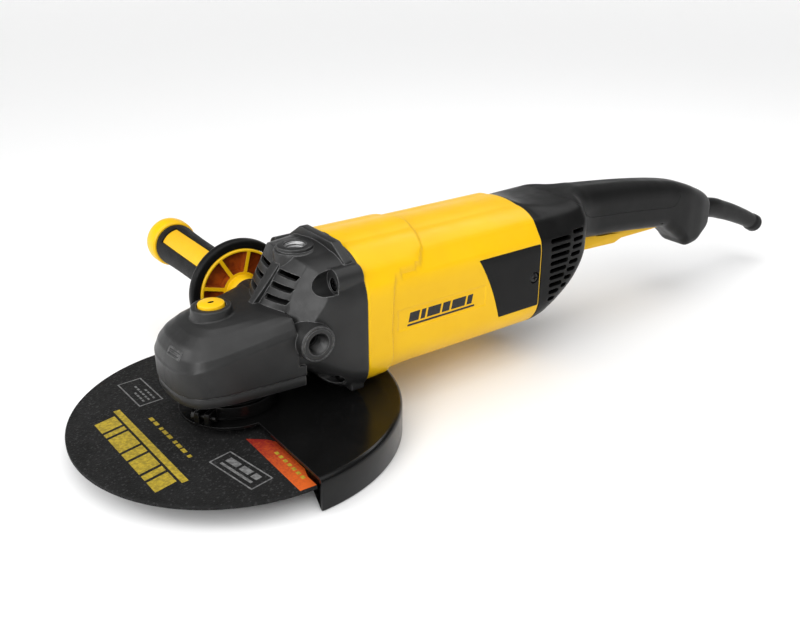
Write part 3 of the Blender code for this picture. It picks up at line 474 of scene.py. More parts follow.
def nose_mark():
    """A small raised frame with one bar in it, on the band round the nose's tip."""
    lower, upper = nose_ring(*NOSE_LEVELS[4]), nose_ring(*NOSE_LEVELS[5])
    middle = min((k for k in range(len(PLAN)) if PLAN[k][0] < 0), key=lambda k: abs(PLAN[k][1] + 10.5))
    start, end = Vector(lower[middle]), Vector(upper[middle])
    along = (Vector(lower[middle - 3]) - Vector(lower[middle + 3])).normalized()
    up = (end - start).normalized()
    out = along.cross(up).normalized()
    if out.x > 0:
        out = -out
    centre = start + (end - start) * 0.3
    bars = []
    for index, outline in enumerate(frame_outlines(*MARK_SIZE, 0.7) + [rectangle((2.4, 2.2), (13.1, 3.4))]):
        rings = [[tuple(centre + along * (u - MARK_SIZE[0] / 2) + up * (v - MARK_SIZE[1] / 2) + out * depth)
                  for u, v in outline] for depth in MARK_DEPTHS]
        bars.append(skin(f"mark_{index}", rings))
    return bars


def panel_x(y, z):
    """The louvred panels: one sloping face that falls back towards the sides."""
    return 23.9 + 0.718 * (z - 92.7) + (y * y - 20) / (100 + 4.3 * (z - 96))


def panel_cutter():
    """Everything in front of the louvred panels, above the nose."""
    levels = [84 + 3 * i for i in range(21)]
    rings = []
    for i in range(25):
        y = -28.3 + 56.6 * i / 24
        back = [(panel_x(y, z), y, z) for z in levels]
        rings.append(back + [(-10, y, 144), (-10, y, 84)])
    return skin("cut_panels", rings)


def air_room():
    """The hollow behind the louvres, open to the fan."""
    rings = []
    for i in range(17):
        y = -27.6 + 55.2 * i / 16
        front = [(panel_x(y, z) + 2.6, y, z) for z in (95.4, 100, 105, 110, 116.4)]
        rings.append(front + [(64, y, 116.4), (64, y, 95.4)])
    return skin("cut_air_room", rings)


def facet_cutters():
    """The plane strip beside each louvred panel."""
    cutters = []
    for side in SIDES:
        normal = Vector((-0.698, 0.600 * side, 0.392)).normalized()
        origin = Vector((30.9, 28 * side, 90.8))
        across = Vector((18.3, 0, 32.6)).normalized()
        other = normal.cross(across)
        corners = [origin + across * a + other * b for a, b in
                   ((-30, -60), (90, -60), (90, 60), (-30, 60))]
        rings = [[tuple(corner + normal * d) for corner in corners] for d in (0, 60)]
        cutters.append(skin(f"cut_facet_{side}", rings))
    return cutters


def make_ridge():
    """The rib between the louvred panels, wider and shallower towards the top."""
    rings = []
    for i in range(13):
        z = 88 + 37.2 * i / 12
        half = 3 + 1.5 * min(1, max(0, (z - 93) / 15))
        outline = soften(rectangle((17.8 + 0.854 * (z - 91.8), -half), (62, half)), 0.5)
        rings.append([(x, y, z) for x, y in outline])
    return skin("ridge", rings)


def make_head():
    """The gear housing as one casting."""
    barrel = loft_rows("gear_housing_cast", HEAD_ROWS, 14, HEAD_END, 1.5)
    cut(barrel, panel_cutter(), *facet_cutters(),
        block("low_front", (5, -60, 20), (29, 60, 84)),
        block("under_nose", (-60, -60, 10), (41, 60, SEAM_Z)))
    pieces = []
    for side in SIDES:
        rib = [[(60 + (HEAD_END - 60) * i / 16, *point) for point in circle(8.8, 32, (side * 39.3, 111.8))]
               for i in range(17)]
        pieces += [skin(f"rib_{side}", rib),
                   side_block(f"lug_{side}", side, 38, 47, (70, 27), (81, 36), 0.8)]
    join(barrel, *pieces)
    cast(barrel, 0.7, 2, 0.45)

    nose = skin("nose", [nose_ring(*level) for level in NOSE_LEVELS])
    cut(nose, block("nose_rear", (31, -60, 58), (50, 60, 120)))
    join(nose, turned("collar", [(15, 86), (14.4, 94), (14, 98), (13.5, 98.8),
                                 (12.8, 99)], (BUTTON_X, 0, 0)))
    cast(nose, 0.6, 1, 0.5)

    arch = [(-41, 108), (-37.7, 122), (-22, 132.2), (22, 132.2), (37.7, 122),
            (41, 108), (33, 108), (24, 118), (-24, 118), (-33, 108)]
    boss = [(14, -30), (13.2, -44), (13.1, -51.3), (12.5, -52)]
    join(barrel,
         nose,
         *nose_mark(),
         make_ridge(),
         prism("arch", soften(arch, 1.6), 72.4, 79.6, "X", bevel=0.9),
         turned("pedestal", [(16.4, 106), (15.6, 123.8), (15, 125.2), (14, 125.8)],
                (TOP_BOSS_X, 0, 0), segments=96),
         turned("top_boss", [(13.4, 112), (13.1, 127.2), (12.8, 128), (12.3, 128.3)],
                (TOP_BOSS_X, 0, 0), segments=96),
         turned("boss_left", boss, AT_BOSS, "Y", 96),
         turned("boss_right", [(r, -h) for r, h in boss], AT_BOSS, "Y", 96))

    cutters = []
    for side in SIDES:
        pocket = []
        for i in range(19):
            t = i / 18
            x = 37 + 24.4 * t
            radius = 1.2 + 7.8 * math.sin(math.pi / 2 * t) ** 0.75
            centre = (side * (41.2 + t), 111.2 + 1.2 * t)
            pocket.append([(x, *point) for point in circle(radius, 48, centre)])
        cutters.append(skin(f"cut_pocket_{side}", pocket))
        cutters.append(rod(f"cut_low_pocket_{side}", 5.2, 41, 66.5, (0, side * 41, 40), "X"))
        for low, high in ((96.4, 99.9), (103.9, 107.5), (111.7, 115.3)):
            outline = [(side * 5, low), (side * 25.3, low), (side * 27.3, high), (side * 5, high)]
            cutters.append(prism(f"cut_louvre_{side}_{low:.0f}", soften(outline, 0.7), 12, 60, "X"))
        notch = soften([(47, 20), (47, 38), (52, 44), (60, 44), (66, 38),
                        (67, 20)], 3)
        cutters.append(prism(f"cut_notch_{side}", notch, side * 43, side * 60, "Y"))
    cut(barrel, *cutters)

    cut(barrel,
        turned("cut_gear_room", [(33.4, SEAM_Z - 5), (33.4, 71), (22, 84)], segments=96),
        loft_rows("cut_fan_room", ((62, 43.5, 119, 35, 23, 15, 1),
                                   (83.5, 48, 124, 29, 30, 16, 2)), 62, 83.5, 2,
                  counts=(8, 6, 6, 6)),
        air_room())
    join(barrel, rod("bush_boss", 8.6, 77, 86, segments=64))
    threaded = [(8.2, 3), (8.2, 0.3), (7.2, -0.7)]
    for turn in range(6):
        level = -1.1 - 2 * turn
        threaded += [(7.2, level), (6.3, level - 0.9), (6.3, level - 1.1), (7.2, level - 2)]
    threaded += [(7.2, -14.6)]
    plain = [(8.2, 54), (8.2, 51.8), (7.2, 50.9), (7.2, 36)]
    cut(barrel,
        turned("cut_button", [(9.6, 88), (9.6, 97.8), (10.4, 99.4), (10.4, 101)], (BUTTON_X, 0, 0)),
        rod("cut_pin", 2.8, 60, 90, (BUTTON_X, 0, 0), segments=24),
        rod("cut_bush", 6.3, 76, 85),
        turned("cut_top_thread", threaded, (TOP_BOSS_X, 0, 128), segments=64),
        turned("cut_left_thread", [(r, -51.7 - h) for r, h in threaded], AT_BOSS, "Y", 64),
        turned("cut_right_hole", plain, AT_BOSS, "Y", 48),
        rod("cut_pinion_room", 11, 10, 64, AT_MOTOR, "X", 48),
        rod("cut_bearing_seat", 16.3, 45.7, 64, AT_MOTOR, "X", 48),
        *(turned(f"cut_shank_{y:.0f}_{z:.0f}", [(4.9, 59), (4.9, 66.4), (2.6, 66.4),
                                                (2.6, 84)], (0, y, z), "X", 32)
          for y in (-41, 41) for z in (40, 110)),
        *(turned(f"cut_ring_{side}", [(11, side * 51.5), (11.6, side * 51.5), (11.6, side * 53),
                                      (11, side * 53)], AT_BOSS, "Y", 64, True) for side in SIDES))
    return barrel


COVER_SCREWS = ((-30, -26), (-30, 26), (31, -33.5), (31, 33.5))


def make_bearing_cover():
    """Plate under the gear room with its neck, bearing seat and screw recesses."""
    levels = ((0.95, 42), (0.975, 42.3), (0.985, 43.4), (0.985, 48.9), (0.975, SEAM_Z - 0.3))
    cover = skin("bearing_cover_cast", [nose_ring(scale, z, z) for scale, z in levels])
    join(cover, turned("neck", [(26.4, 25), (27, 25.6), (27, 40.5), (28.6, 43)], segments=96))
    cut(cover, turned("cut_bore", [(12.2, 24), (11.6, 25), (11.6, 34.7), (20.35, 34.7),
                                   (20.35, 51)], segments=64),
        *(turned(f"cut_cover_screw_{index}", [(4.8, 40), (4.8, 44), (2.7, 44),
                                              (2.7, 51)], (x, y, 0), segments=32)
          for index, (x, y) in enumerate(COVER_SCREWS)))
    return cover


def make_screw(name, centre, axis, head_radius, shank_radius, rim, top, under, end):
    """Pan-head screw with a cross recess; heights run from the head's top to the shank's end."""
    turn = 1 if end > top else -1
    profile = [(head_radius * 0.55, top), (head_radius * 0.85, top + turn * 0.35),
               (head_radius, top + turn * rim), (head_radius, under), (shank_radius, under),
               (shank_radius, end)]
    screw = turned(name, profile, centre, axis, 32)
    recess = []
    for flip in (False, True):
        size = (head_radius * 0.55, 0.55)
        a, b = size if not flip else size[::-1]
        low = [-a, -b, min(top - turn, top + turn * 1.3)]
        high = [a, b, max(top - turn, top + turn * 1.3)]
        order = {"X": (2, 0, 1), "Y": (0, 2, 1), "Z": (0, 1, 2)}[axis]
        recess.append(block(f"{name}_recess_{flip}", tuple(low[k] + c for k, c in zip(order, centre)),
                            tuple(high[k] + c for k, c in zip(order, centre))))
    cut(screw, *recess)
    return screw


# ---------------------------------------------------------------- motor housing

STEP_SIDE = ((50, 104), (68, 103), (99, 105), (107, 108.5), (109, 124),
             (112.8, 133), (117, 135.5))
LABEL_FACE = 49.75                         # |y| of the raised marks in the label recess
BRUSH_SCREW = (241.5, 0, MOTOR_Z)
LABEL = (108.5, 191, 64.5, 81.3)


def body_surface(x, y, z, ny, nz):
    """The yellow body's details: front step, ridge, chamfers, label recess and end lips."""
    width = abs(y)
    if z > 117:
        edge = 148 - 12.5 * (min(width, 43) / 43) ** 1.4
    else:
        edge = linear(STEP_SIDE, z)
    raised = 1 - ramp(x, edge - 1.2, edge + 1.2)
    out = 1.9 * raised
    bump = math.exp(-(((width - 43.6) ** 2 + (z - 114.6) ** 2) / 26))
    out += 1.6 * bump * (1 - ramp(x, 127, 136))
    if abs(ny) > 0.99:
        x0, x1, z0, z1 = LABEL
        inside = min(x - x0, x1 - x, z - z0, z1 - z)
        out -= 0.6 * ramp(inside, -0.1, 0.7)
    out -= 0.7 * (1 - ramp(x, BODY_START, BODY_START + 1.2))
    out -= 0.5 * ramp(x, BODY_END - 0.9, BODY_END)
    y, z = facet_clip(y, z, 99.9)
    return y + ny * out, z + nz * out


BRUSH_COVER = ((184.5, 101.5), (246.5, 101.5), (246.5, 50.5), (205.5, 50.5))


def brush_outline(grow):
    """Outline of the brush cover: its front edge slants and bows slightly forward."""
    (x0, top), (x1, _), _, (x3, bottom) = BRUSH_COVER
    front = []
    for i in range(9):
        t = i / 8
        bow = 2.2 * math.sin(math.pi * t)
        front.append((x3 + (x0 - x3) * t - grow + bow, bottom - grow + (top - bottom + 2 * grow) * t))
    return soften(front + [(x1 + grow, top + grow), (x1 + grow, bottom - grow)], 0.8)


def make_motor_housing():
    counts = (18, 52, 24, 14)
    shell = loft_rows("motor_housing_moulding", BODY_ROWS, BODY_START, BODY_END, 0.8,
                      shape=body_surface, counts=counts)
    room = loft_rows("cut_room", BODY_ROWS, BODY_START - 2, BODY_END + 2, 8, grow=-3.2,
                     counts=(8, 8, 6, 6))
    cut(shell, room)
    spider = loft_rows("spider", BODY_ROWS, 241, 245, 1, grow=-2.4, counts=(8, 8, 6, 6))
    cup = rod("cup", 16.5, 230, 244, AT_MOTOR, "X", 64)
    join(shell, spider, cup)
    cutters = [turned("cut_cup", [(13.3, 229), (13.3, 240.6), (6, 240.6),
                                  (6, 246)], AT_MOTOR, "X")]
    for index in range(4):
        arc = [math.radians(90 * index + 14 + 62 * k / 10) for k in range(11)]
        outline = [(21 * math.cos(a), MOTOR_Z + 21 * math.sin(a)) for a in arc]
        outline += [(42 * math.cos(a), MOTOR_Z + 42 * math.sin(a)) for a in reversed(arc)]
        cutters.append(prism(f"cut_spider_{index}", outline, 239, 247, "X"))
    for side in SIDES:
        cutters.append(prism(f"cut_window_{side}", brush_outline(0.35),
                             side * 42.6, side * 60, "Y"))
    cut(shell, *cutters)
    return shell


def make_brush_cover(name, side):
    """Black cover over a brush holder, a shade proud of the body."""
    cover = loft_rows(name, BODY_ROWS, 178, BODY_END, 2, grow=0.25, counts=(24, 20, 12, 10),
                      shape=lambda x, y, z, ny, nz: facet_clip(y, z, 100.15))
    shape = prism("shape", brush_outline(0), side * 46, side * 52, "Y")
    keep_inside(cover, shape)
    room = loft_rows("room", BODY_ROWS, 170, BODY_END + 3, 8, grow=-3.2, counts=(8, 8, 6, 6))
    seat = [(4.6, side * 48.2), (4.6, side * 49.6), (5.2, side * 50.6),
            (5.2, side * 53)]
    cut(cover, room, turned("seat", seat, BRUSH_SCREW, "Y", 48),
        rod("hole", 2.3, side * 43, side * 52, BRUSH_SCREW, "Y"))
    return cover


# ---------------------------------------------------------------- rear handle

PAD_THICKNESS = 1.6
CORD_Z = 68
TRIGGER_PIVOT = (436, 0, 73.5)


def casing_surface(x, y, z, ny, nz):
    """Chamfers that run from the body's upper edges to the casing's shoulders."""
    fade = 1 - ramp(x, 296, 312)
    half, top, bottom, top_radius, bottom_radius, crown = pchip(HANDLE_ROWS, x)
    limit = (FACET_NORMAL[0] * (half - top_radius) + FACET_NORMAL[1] * (top - top_radius) + top_radius
             - 1.1 * fade)
    y, z = facet_clip(y, z, limit)
    side = math.copysign(1, y)
    lean = (0.30, 0.954)
    start = linear(((248, 12), (298, 34), (320, 60)), x)
    limit = lean[0] * start + lean[1] * (top + crown * 0.5)
    reach = lean[0] * side * y + lean[1] * z - limit
    if reach > 0 and fade > 0:
        y -= side * lean[0] * reach * fade
        z -= lean[1] * reach * fade
    return y, z


def pad_outline(extra):
    """Side view of the soft skin on top of the handle."""
    return [(297 - extra, 126.5), (301 - extra, 121), (311 - extra, 115), (319.5 - extra, 108),
            (325 - extra, 103 - extra), (333, 99.6 - extra), (348, 97.5 - extra),
            (380, 94.2 - extra), (410, 90.9 - extra), (440, 87 - extra),
            (449 + extra * 0.5, 86.8 - extra), (454 + extra, 90.5 - extra), (457 + extra, 98),
            (458 + extra, 108), (457 + extra, 140), (297 - extra, 140)]


def handle_loft(name, grow, start=HANDLE_START, end=513.5, step=1.6):
    return loft_rows(name, HANDLE_ROWS, start, end, step, grow=grow, shape=casing_surface,
                     counts=(16, 20, 16, 10))


VENT_PITCH = 6.15


def vent_places():
    """(start, end, low, high) of each air slot in the side of the casing."""
    places = []
    for row in range(9):
        z = 98.8 - row * VENT_PITCH
        places.append((258.2, 281 - 0.22 * row * row, z, z + 3.9))
    for row in range(8):
        z = 101.6 - row * VENT_PITCH
        places.append((284 - 0.24 * row * row, 297.2 - 0.36 * row * row, z, z + 3.7))
    return places


def casing_half(side):
    return side_block("half", side, 0.1, 70, (230, 0), (530, 150))


def make_handle_shell(name, side):
    shell = handle_loft(name, 0)
    room = loft_rows("room", HANDLE_ROWS, HANDLE_START - 2, 512, 3, grow=-3.4,
                     counts=(8, 8, 6, 6))
    band = handle_loft("band", 3, 285, 470, 2.5)
    zone = prism("zone", pad_outline(0.25), -60, 60, "Y")
    keep_inside(band, zone)
    cut(band, handle_loft("under_pad", -PAD_THICKNESS - 0.3, 280, 475, 2.5))
    cutters = [room, band]
    for index, (start, end, low, high) in enumerate(vent_places()):
        outline = slot_outline(start, end, low, high)
        cutters.append(prism(f"cut_vent_{index}", outline, side * 26, side * 60, "Y"))
    slot = soften(rectangle((337.8, 50), (444, 84)), 1)
    cutters.append(prism("cut_trigger_slot", slot, -9.2, 9.2, "Y"))
    cutters.append(rod("cut_cord", 10.7, 500, 520, (0, 0, CORD_Z), "X", 48))
    cutters.append(rod("cut_pin", 2.3, -17.2, 17.2, TRIGGER_PIVOT, "Y", 24))
    cut(shell, *cutters)
    keep_inside(shell, casing_half(side))
    web = handle_loft("web", -1.5, 252, 304, 2.5)
    keep_inside(web, side_block("web_half", side, 0.1, 1.7, (240, 0), (320, 150)))
    join(shell, web)
    return shell


def make_handle_pad(name, side):
    pad = handle_loft(name, 0, 285, 470, 1.6)
    keep_inside(pad, prism("zone", pad_outline(0), -60, 60, "Y"))
    cut(pad, handle_loft("under", -PAD_THICKNESS, 280, 475, 2.5))
    keep_inside(pad, casing_half(side))
    return pad


def make_trigger():
    outline = [(339.5, 64.6), (342, 63.4), (382, 61.7), (390.5, 64.8), (434, 64.7),
               (441, 65.2), (441, 72.8), (438, 76), (432, 76), (426, 74.3),
               (358, 74.3), (354, 77.2), (343, 77.8), (339.5, 75.5)]
    trigger = prism("trigger_moulding", soften(outline, 1.6), -8.5, 8.5, "Y", bevel=1.2)
    pocket = soften(rectangle((355.5, 50), (384, 70.4)), 0.8)
    cut(trigger,
        rod("cut_bore", 2.4, -10, 10, TRIGGER_PIVOT, "Y", 24),
        prism("cut_lever", pocket, -4.6, 4.6, "Y"))
    return trigger


def make_lock_off():
    outline = [(356.5, 65.7), (358.5, 63.9), (380.5, 59.7), (383.1, 61.9), (380.5, 64.9),
               (362.5, 69.3), (358.5, 69.5), (356.5, 67.9)]
    return prism("lock_off_moulding", soften(outline, 1), -4, 4, "Y", bevel=0.6)


def make_cord_guard():
    """Rubber sleeve with a collar at the handle and a lip at its tail."""
    stations = ((507, 68, 9.9), (516, 67.9, 10), (526, 66.8, 9.9), (537, 64.4, 9.8),
                (548, 60.6, 9.5), (560, 56.5, 9.2), (572, 51.9, 8.9), (584, 47, 8.6),
                (595.5, 42, 8.3), (604, 37.8, 8.1), (605.5, 36.9, 8.6), (607, 36.1, 9),
                (613.2, 33, 9.2), (614.3, 32.4, 8.8), (614.7, 32.2, 8))
    points = []
    for (start, _, _), (end, _, _) in zip(stations, stations[1:]):
        pieces = max(1, round((end - start) / 1.5))
        places = [start + (end - start) * i / pieces for i in range(pieces)]
        points += [(x, *pchip(stations, x)) for x in places]
    points.append(stations[-1])
    outer, inner = [], []
    for index, (x, z, radius) in enumerate(points):
        before, after = points[max(index - 1, 0)], points[min(index + 1, len(points) - 1)]
        along = Vector((after[0] - before[0], 0, after[1] - before[1])).normalized()
        sideways = Vector((0, 1, 0))
        up = along.cross(sideways)
        for rings, size in ((outer, radius), (inner, 5)):
            rings.append([tuple(Vector((x, 0, z)) + size * (math.cos(a) * sideways + math.sin(a) * up))
                          for a in turns(48)])
    return skin("cord_guard_rubber", outer + inner[::-1], closed=True)


# ---------------------------------------------------------------- auxiliary handle

WHEEL_EDGE = 33
SPOKES = 8
CORE_TURN = math.radians(-16)
PANEL_ANGLES = (math.radians(123), math.radians(303))
PANEL_HALF_ANGLE = math.radians(29)
PANEL_START = 104
PANEL_END = 179


def sector(radius_in, radius_out, middle, half_angle, steps=12):
    """Closed (x, z) outline of a ring sector about the side handle's axis."""
    arc = [middle + half_angle * (2 * k / steps - 1) for k in range(steps + 1)]
    points = [(radius_in * math.cos(a), radius_in * math.sin(a)) for a in arc]
    points += [(radius_out * math.cos(a), radius_out * math.sin(a)) for a in reversed(arc)]
    return [(BOSS_X + x, MOTOR_Z + z) for x, z in points]


def make_side_core():
    """Yellow core: nut boss, spoked wheel, panels that show through the grip, and the end cap."""
    cap = [(12, 188.8), (18.2, 189), (19.6, 190.2), (20.3, 193), (20.4, 200), (19.8, 203.4),
           (18, 206.6), (14.6, 209.2), (9.6, 210.6)]
    profile = [(7.8, 80.4), (7.8, 54), (11, 54), (11.6, 54.8), (12.6, 62),
               (WHEEL_EDGE - 0.8, 62), (WHEEL_EDGE, 62.8), (WHEEL_EDGE, 71), (20, 71.6),
               (14, 73.5), (12, 78)] + cap
    core = turned("side_handle_core_moulding", profile, AT_BOSS, "Y", 96)
    gaps = []
    for index in range(SPOKES):
        middle = 2 * math.pi * (index + 0.5) / SPOKES + CORE_TURN
        outline = []
        for radius, spare in ((15, 0.10), (WHEEL_EDGE - 1.9, 0.045)):
            half = math.pi / SPOKES - spare
            arc = [middle + half * (2 * k / 8 - 1) for k in range(9)]
            if radius > 20:
                arc = arc[::-1]
            outline += [(BOSS_X + radius * math.cos(a), MOTOR_Z + radius * math.sin(a)) for a in arc]
        gaps.append(prism(f"cut_gap_{index}", soften(outline, 0.6), 59, 68.6, "Y"))
    cut(core, *gaps)
    panels = [prism(f"panel_{index}", sector(11.5, 16.3, middle, PANEL_HALF_ANGLE),
                    PANEL_START, PANEL_END, "Y")
              for index, middle in enumerate(PANEL_ANGLES)]
    join(core, *panels)
    return core


def make_side_grip():
    """Black sleeve with a window over each yellow panel."""
    profile = [(12.3, 80.6), (19, 80.6), (20.2, 81.6), (20, 86), (18.2, 96), (17, 110),
               (16.6, 130), (16.8, 155), (17.4, 175), (18, 184), (17.8, 187.6), (17, 188.5),
               (12.3, 188.5)]
    grip = turned("side_handle_grip_rubber", soften(profile, 3), AT_BOSS, "Y", 96, True)
    windows = []
    for index, middle in enumerate(PANEL_ANGLES):
        outline = sector(12, 24, middle, PANEL_HALF_ANGLE + 0.02)
        windows.append(prism(f"window_{index}", outline, PANEL_START - 0.3, PANEL_END + 0.3, "Y"))
    cut(grip, *windows)
    return grip


def make_side_stud():
    profile = [(5.4, 38), (6.1, 38.8)]
    y = 39
    while y < 61:
        profile += [(6.1, y), (6.9, y + 0.8), (6.9, y + 1), (6.1, y + 1.8)]
        y += 2
    profile += [(6.6, 62), (6.6, 80)]
    return turned("side_handle_stud_thread", profile, AT_BOSS, "Y", 48)


def make_side_ring():
    profile = [(WHEEL_EDGE + 0.3, 63), (38, 63), (39.4, 63.8), (40, 65.4), (40, 68.6),
               (39.4, 70.2), (38, 71), (WHEEL_EDGE + 0.3, 71)]
    return turned("side_handle_ring_rubber", soften(profile, 0.8), AT_BOSS, "Y", 128, True)


# ---------------------------------------------------------------- disc and guard

DISC_RADIUS = 115
DISC_TOP = 15


def make_disc():
    profile = [(11.2, 12), (114.6, 12), (DISC_RADIUS, 12.4), (DISC_RADIUS, 14.6), (114.6, DISC_TOP),
               (11.2, DISC_TOP)]
    dense = []
    for (r0, z0), (r1, z1) in zip(profile, profile[1:] + profile[:1]):
        pieces = max(1, round(abs(r1 - r0) / 6))
        dense += [(r0 + (r1 - r0) * i / pieces, z0 + (z1 - z0) * i / pieces) for i in range(pieces)]
    return turned("cutting_disc_resin", dense, segments=192, hollow=True)


def print_patch(disc, outlines, slot_index, lift=0):
    """Thin printed shapes just above the disc's top face."""
    bm = bmesh.new()
    bm.from_mesh(disc.data)
    for outline in outlines:
        layers = []
        for z in (DISC_TOP + lift + 0.02, DISC_TOP + lift + 0.07):
            layers.append([bm.verts.new((x * MM, y * MM, z * MM)) for x, y in outline])
        faces = [bm.faces.new(layers[0]), bm.faces.new(layers[1])]
        count = len(outline)
        for i in range(count):
            j = (i + 1) % count
            faces.append(bm.faces.new((layers[0][i], layers[0][j], layers[1][j], layers[1][i])))
        bmesh.ops.recalc_face_normals(bm, faces=faces)
        for face in faces:
            face.material_index = slot_index
    bm.to_mesh(disc.data)
    bm.free()


def placed(outline, origin, angle):
    """A flat outline turned and moved on the disc."""
    c, s = math.cos(angle), math.sin(angle)
    return [(origin[0] + x * c - y * s, origin[1] + x * s + y * c) for x, y in outline]


def frame_outlines(width, height, line):
    """Four bars that make a box outline, with its corner at the origin."""
    return [rectangle((0, 0), (width, line)), rectangle((0, height - line), (width, height)),
            rectangle((0, line), (line, height - line)),
            rectangle((width - line, line), (width, height - line))]


def make_guard():
    """Half-round sheet guard with a rolled edge, rim and collar."""
    outer = [(120.5, -1.5), (120.5, 18.3)]
    inner = [(118.5, -1.5), (118.5, 18.3)]
    for step in range(1, 9):
        a = math.radians(90 * step / 8)
        outer.append((116.5 + 4 * math.cos(a), 18.3 + 4 * math.sin(a)))
        inner.append((116.5 + 2 * math.cos(a), 18.3 + 2 * math.sin(a)))
    for radius in (100, 80, 60, 44, 28.5):
        outer.append((radius, 22.3))
        inner.append((radius, 20.3))
    profile = soften(outer + inner[::-1], 0.5, steps=2)
    steps = 120
    rings = []
    for i in range(steps + 1):
        a = math.pi * (i / steps - 0.5)
        rings.append([(r * math.cos(a), r * math.sin(a), z) for r, z in profile])
    guard = skin("guard_sheet", rings)
    collar = [(27.5, 20.3), (38, 20.3), (38, 22.3), (31, 22.4), (29.6, 23.4), (29.5, 34.6),
              (29.1, 35), (27.5, 35)]
    join(guard, turned("collar", collar, segments=128, hollow=True))
    return guard


def make_clamp_band():
    angle = math.radians(214)
    inner, outer = 29.8, 32
    band = turned("guard_clamp_band_sheet", soften([(inner, 24.5), (outer, 24.5), (outer, 34),
                                                    (inner, 34)], 0.4), segments=96, hollow=True)
    ears = block("ears", (outer - 1, -6, 24.5), (outer + 9.5, 6, 34), 0.8)
    join(band, ears)
    cut(band, block("slot", (inner - 2, -2.2, 23), (outer + 11, 2.2, 35.5)),
        rod("hole", 2.4, -8, 8, (outer + 5, 0, 29.25), "Y"))
    band.data.transform(Matrix.Rotation(angle, 4, "Z"))
    screw = make_screw("guard_clamp_screw_steel", (outer + 5, 0, 29.25), "Y", 3.8, 1.9, 0.8, -9.5,
                       -6.3, 9)
    screw.data.transform(Matrix.Rotation(angle, 4, "Z"))
    return band, screw


def make_button():
    profile = [(9, 94), (9.2, 94.4), (9.2, 99.6), (8.9, 100.5), (8, 101)]
    button = turned("lock_button_moulding", profile, (BUTTON_X, 0, 0), "Z", 96)
    dimple = []
    for t in (0, 1):
        dimple.append([(BUTTON_X + (2 + 0.3 * t) * math.cos(a), (1.2 + 0.2 * t) * math.sin(a),
                        98.8 + 2.7 * t) for a in turns(32)])
    cut(button, skin("dimple", dimple))
    return button


def make_flange_and_nut():
    flange_outline = soften([(7.3, 12.5), (10.9, 12.5), (10.9, 15.3), (21, 15.3), (21, 18),
                             (14, 20.7), (7.3, 20.7)], 0.4, steps=2)
    flange = turned("inner_flange_steel", flange_outline, segments=96, hollow=True)
    nut_outline = soften([(7.3, 4), (13, 4), (13, 5.5), (21, 5.5), (21, 11.7), (7.3, 11.7)], 0.5, steps=2)
    nut = turned("clamp_nut_steel", nut_outline, segments=96, hollow=True)
    cut(nut, *(rod(f"pin_{i}", 2.5, 3, 10, (x, y, 0), segments=24)
               for i, (x, y) in enumerate(circle(17, 4, start=math.pi / 4))))
    return flange, nut


def make_spindle():
    profile = [(5.6, 0), (6.2, 0.7)]
    z = 0.9
    while z < 19:
        profile += [(6.2, z), (6.95, z + 0.85), (6.95, z + 1.05), (6.2, z + 1.9)]
        z += 2
    profile += [(6.3, 21), (9.7, 21), (10, 21.3), (10, 34), (8.3, 34), (8.3, 47.6),
                (10, 47.6), (10, 53.7), (7.4, 53.7), (7.4, 66.5), (4.1, 66.5), (4.1, 83.6),
                (3.7, 84)]
    return turned("spindle_steel", profile, segments=48)


# ---------------------------------------------------------------- materials

class Paint:
    """A material, with short calls that add and wire its nodes."""

    def __init__(self, name, stretch=None):
        self.mat = bpy.data.materials.new(name)
        self.mat.use_nodes = True
        self.tree = self.mat.node_tree
        self.shader = self.tree.nodes["Principled BSDF"]
        self.coords = self.add("TexCoord").outputs["Object"]
        if stretch:
            self.coords = self.add("Mapping", Scale=stretch, Vector=self.coords).outputs["Vector"]

    def wire(self, value, socket):
        """Give a socket a constant or a link."""
        if isinstance(value, bpy.types.NodeSocket):
            self.tree.links.new(value, socket)
        else:
            socket.default_value = value

    def add(self, kind, settings=(), **inputs):
        """A node with its settings and inputs; _ stands for a space in an input's name."""
        node = self.tree.nodes.new("ShaderNode" + kind)
        for key, value in settings:
            setattr(node, key, value)
        for key, value in inputs.items():
            self.wire(value, node.inputs[key.replace("_", " ")])
        return node

    def surface(self, **inputs):
        """Give the shader's own inputs their values."""
        for key, value in inputs.items():
            self.wire(value, self.shader.inputs[key.replace("_", " ")])

    def noise(self, scale, detail=3, rough=0.55):
        return self.add("TexNoise", Scale=scale, Detail=detail, Roughness=rough,
                        Vector=self.coords).outputs["Fac"]

    def cells(self, scale):
        return self.add("TexVoronoi", Scale=scale, Vector=self.coords).outputs

    def split(self):
        return self.add("SeparateXYZ", Vector=self.coords).outputs

    def remap(self, value, low, high, new_low=0, new_high=1):
        return self.add("MapRange", From_Min=low, From_Max=high, To_Min=new_low, To_Max=new_high,
                        Value=value).outputs["Result"]

    def mix(self, factor, first, second):
        return self.add("Mix", [("data_type", "RGBA")], Factor=factor, A=first, B=second).outputs["Result"]

    def pair(self, kind, operation, first, second):
        """A math node of two values."""
        node = self.add(kind, [("operation", operation)])
        self.wire(first, node.inputs[0])
        self.wire(second, node.inputs[1])
        return node.outputs

    def calc(self, operation, first, second=0):
        return self.pair("Math", operation, first, second)[0]

    def bump(self, height, strength, distance, **normal):
        node = self.add("Bump", Strength=strength, Distance=distance, Height=height, **normal)
        self.surface(Normal=node.outputs["Normal"])


def grey(value):
    return (value, value, value, 1)


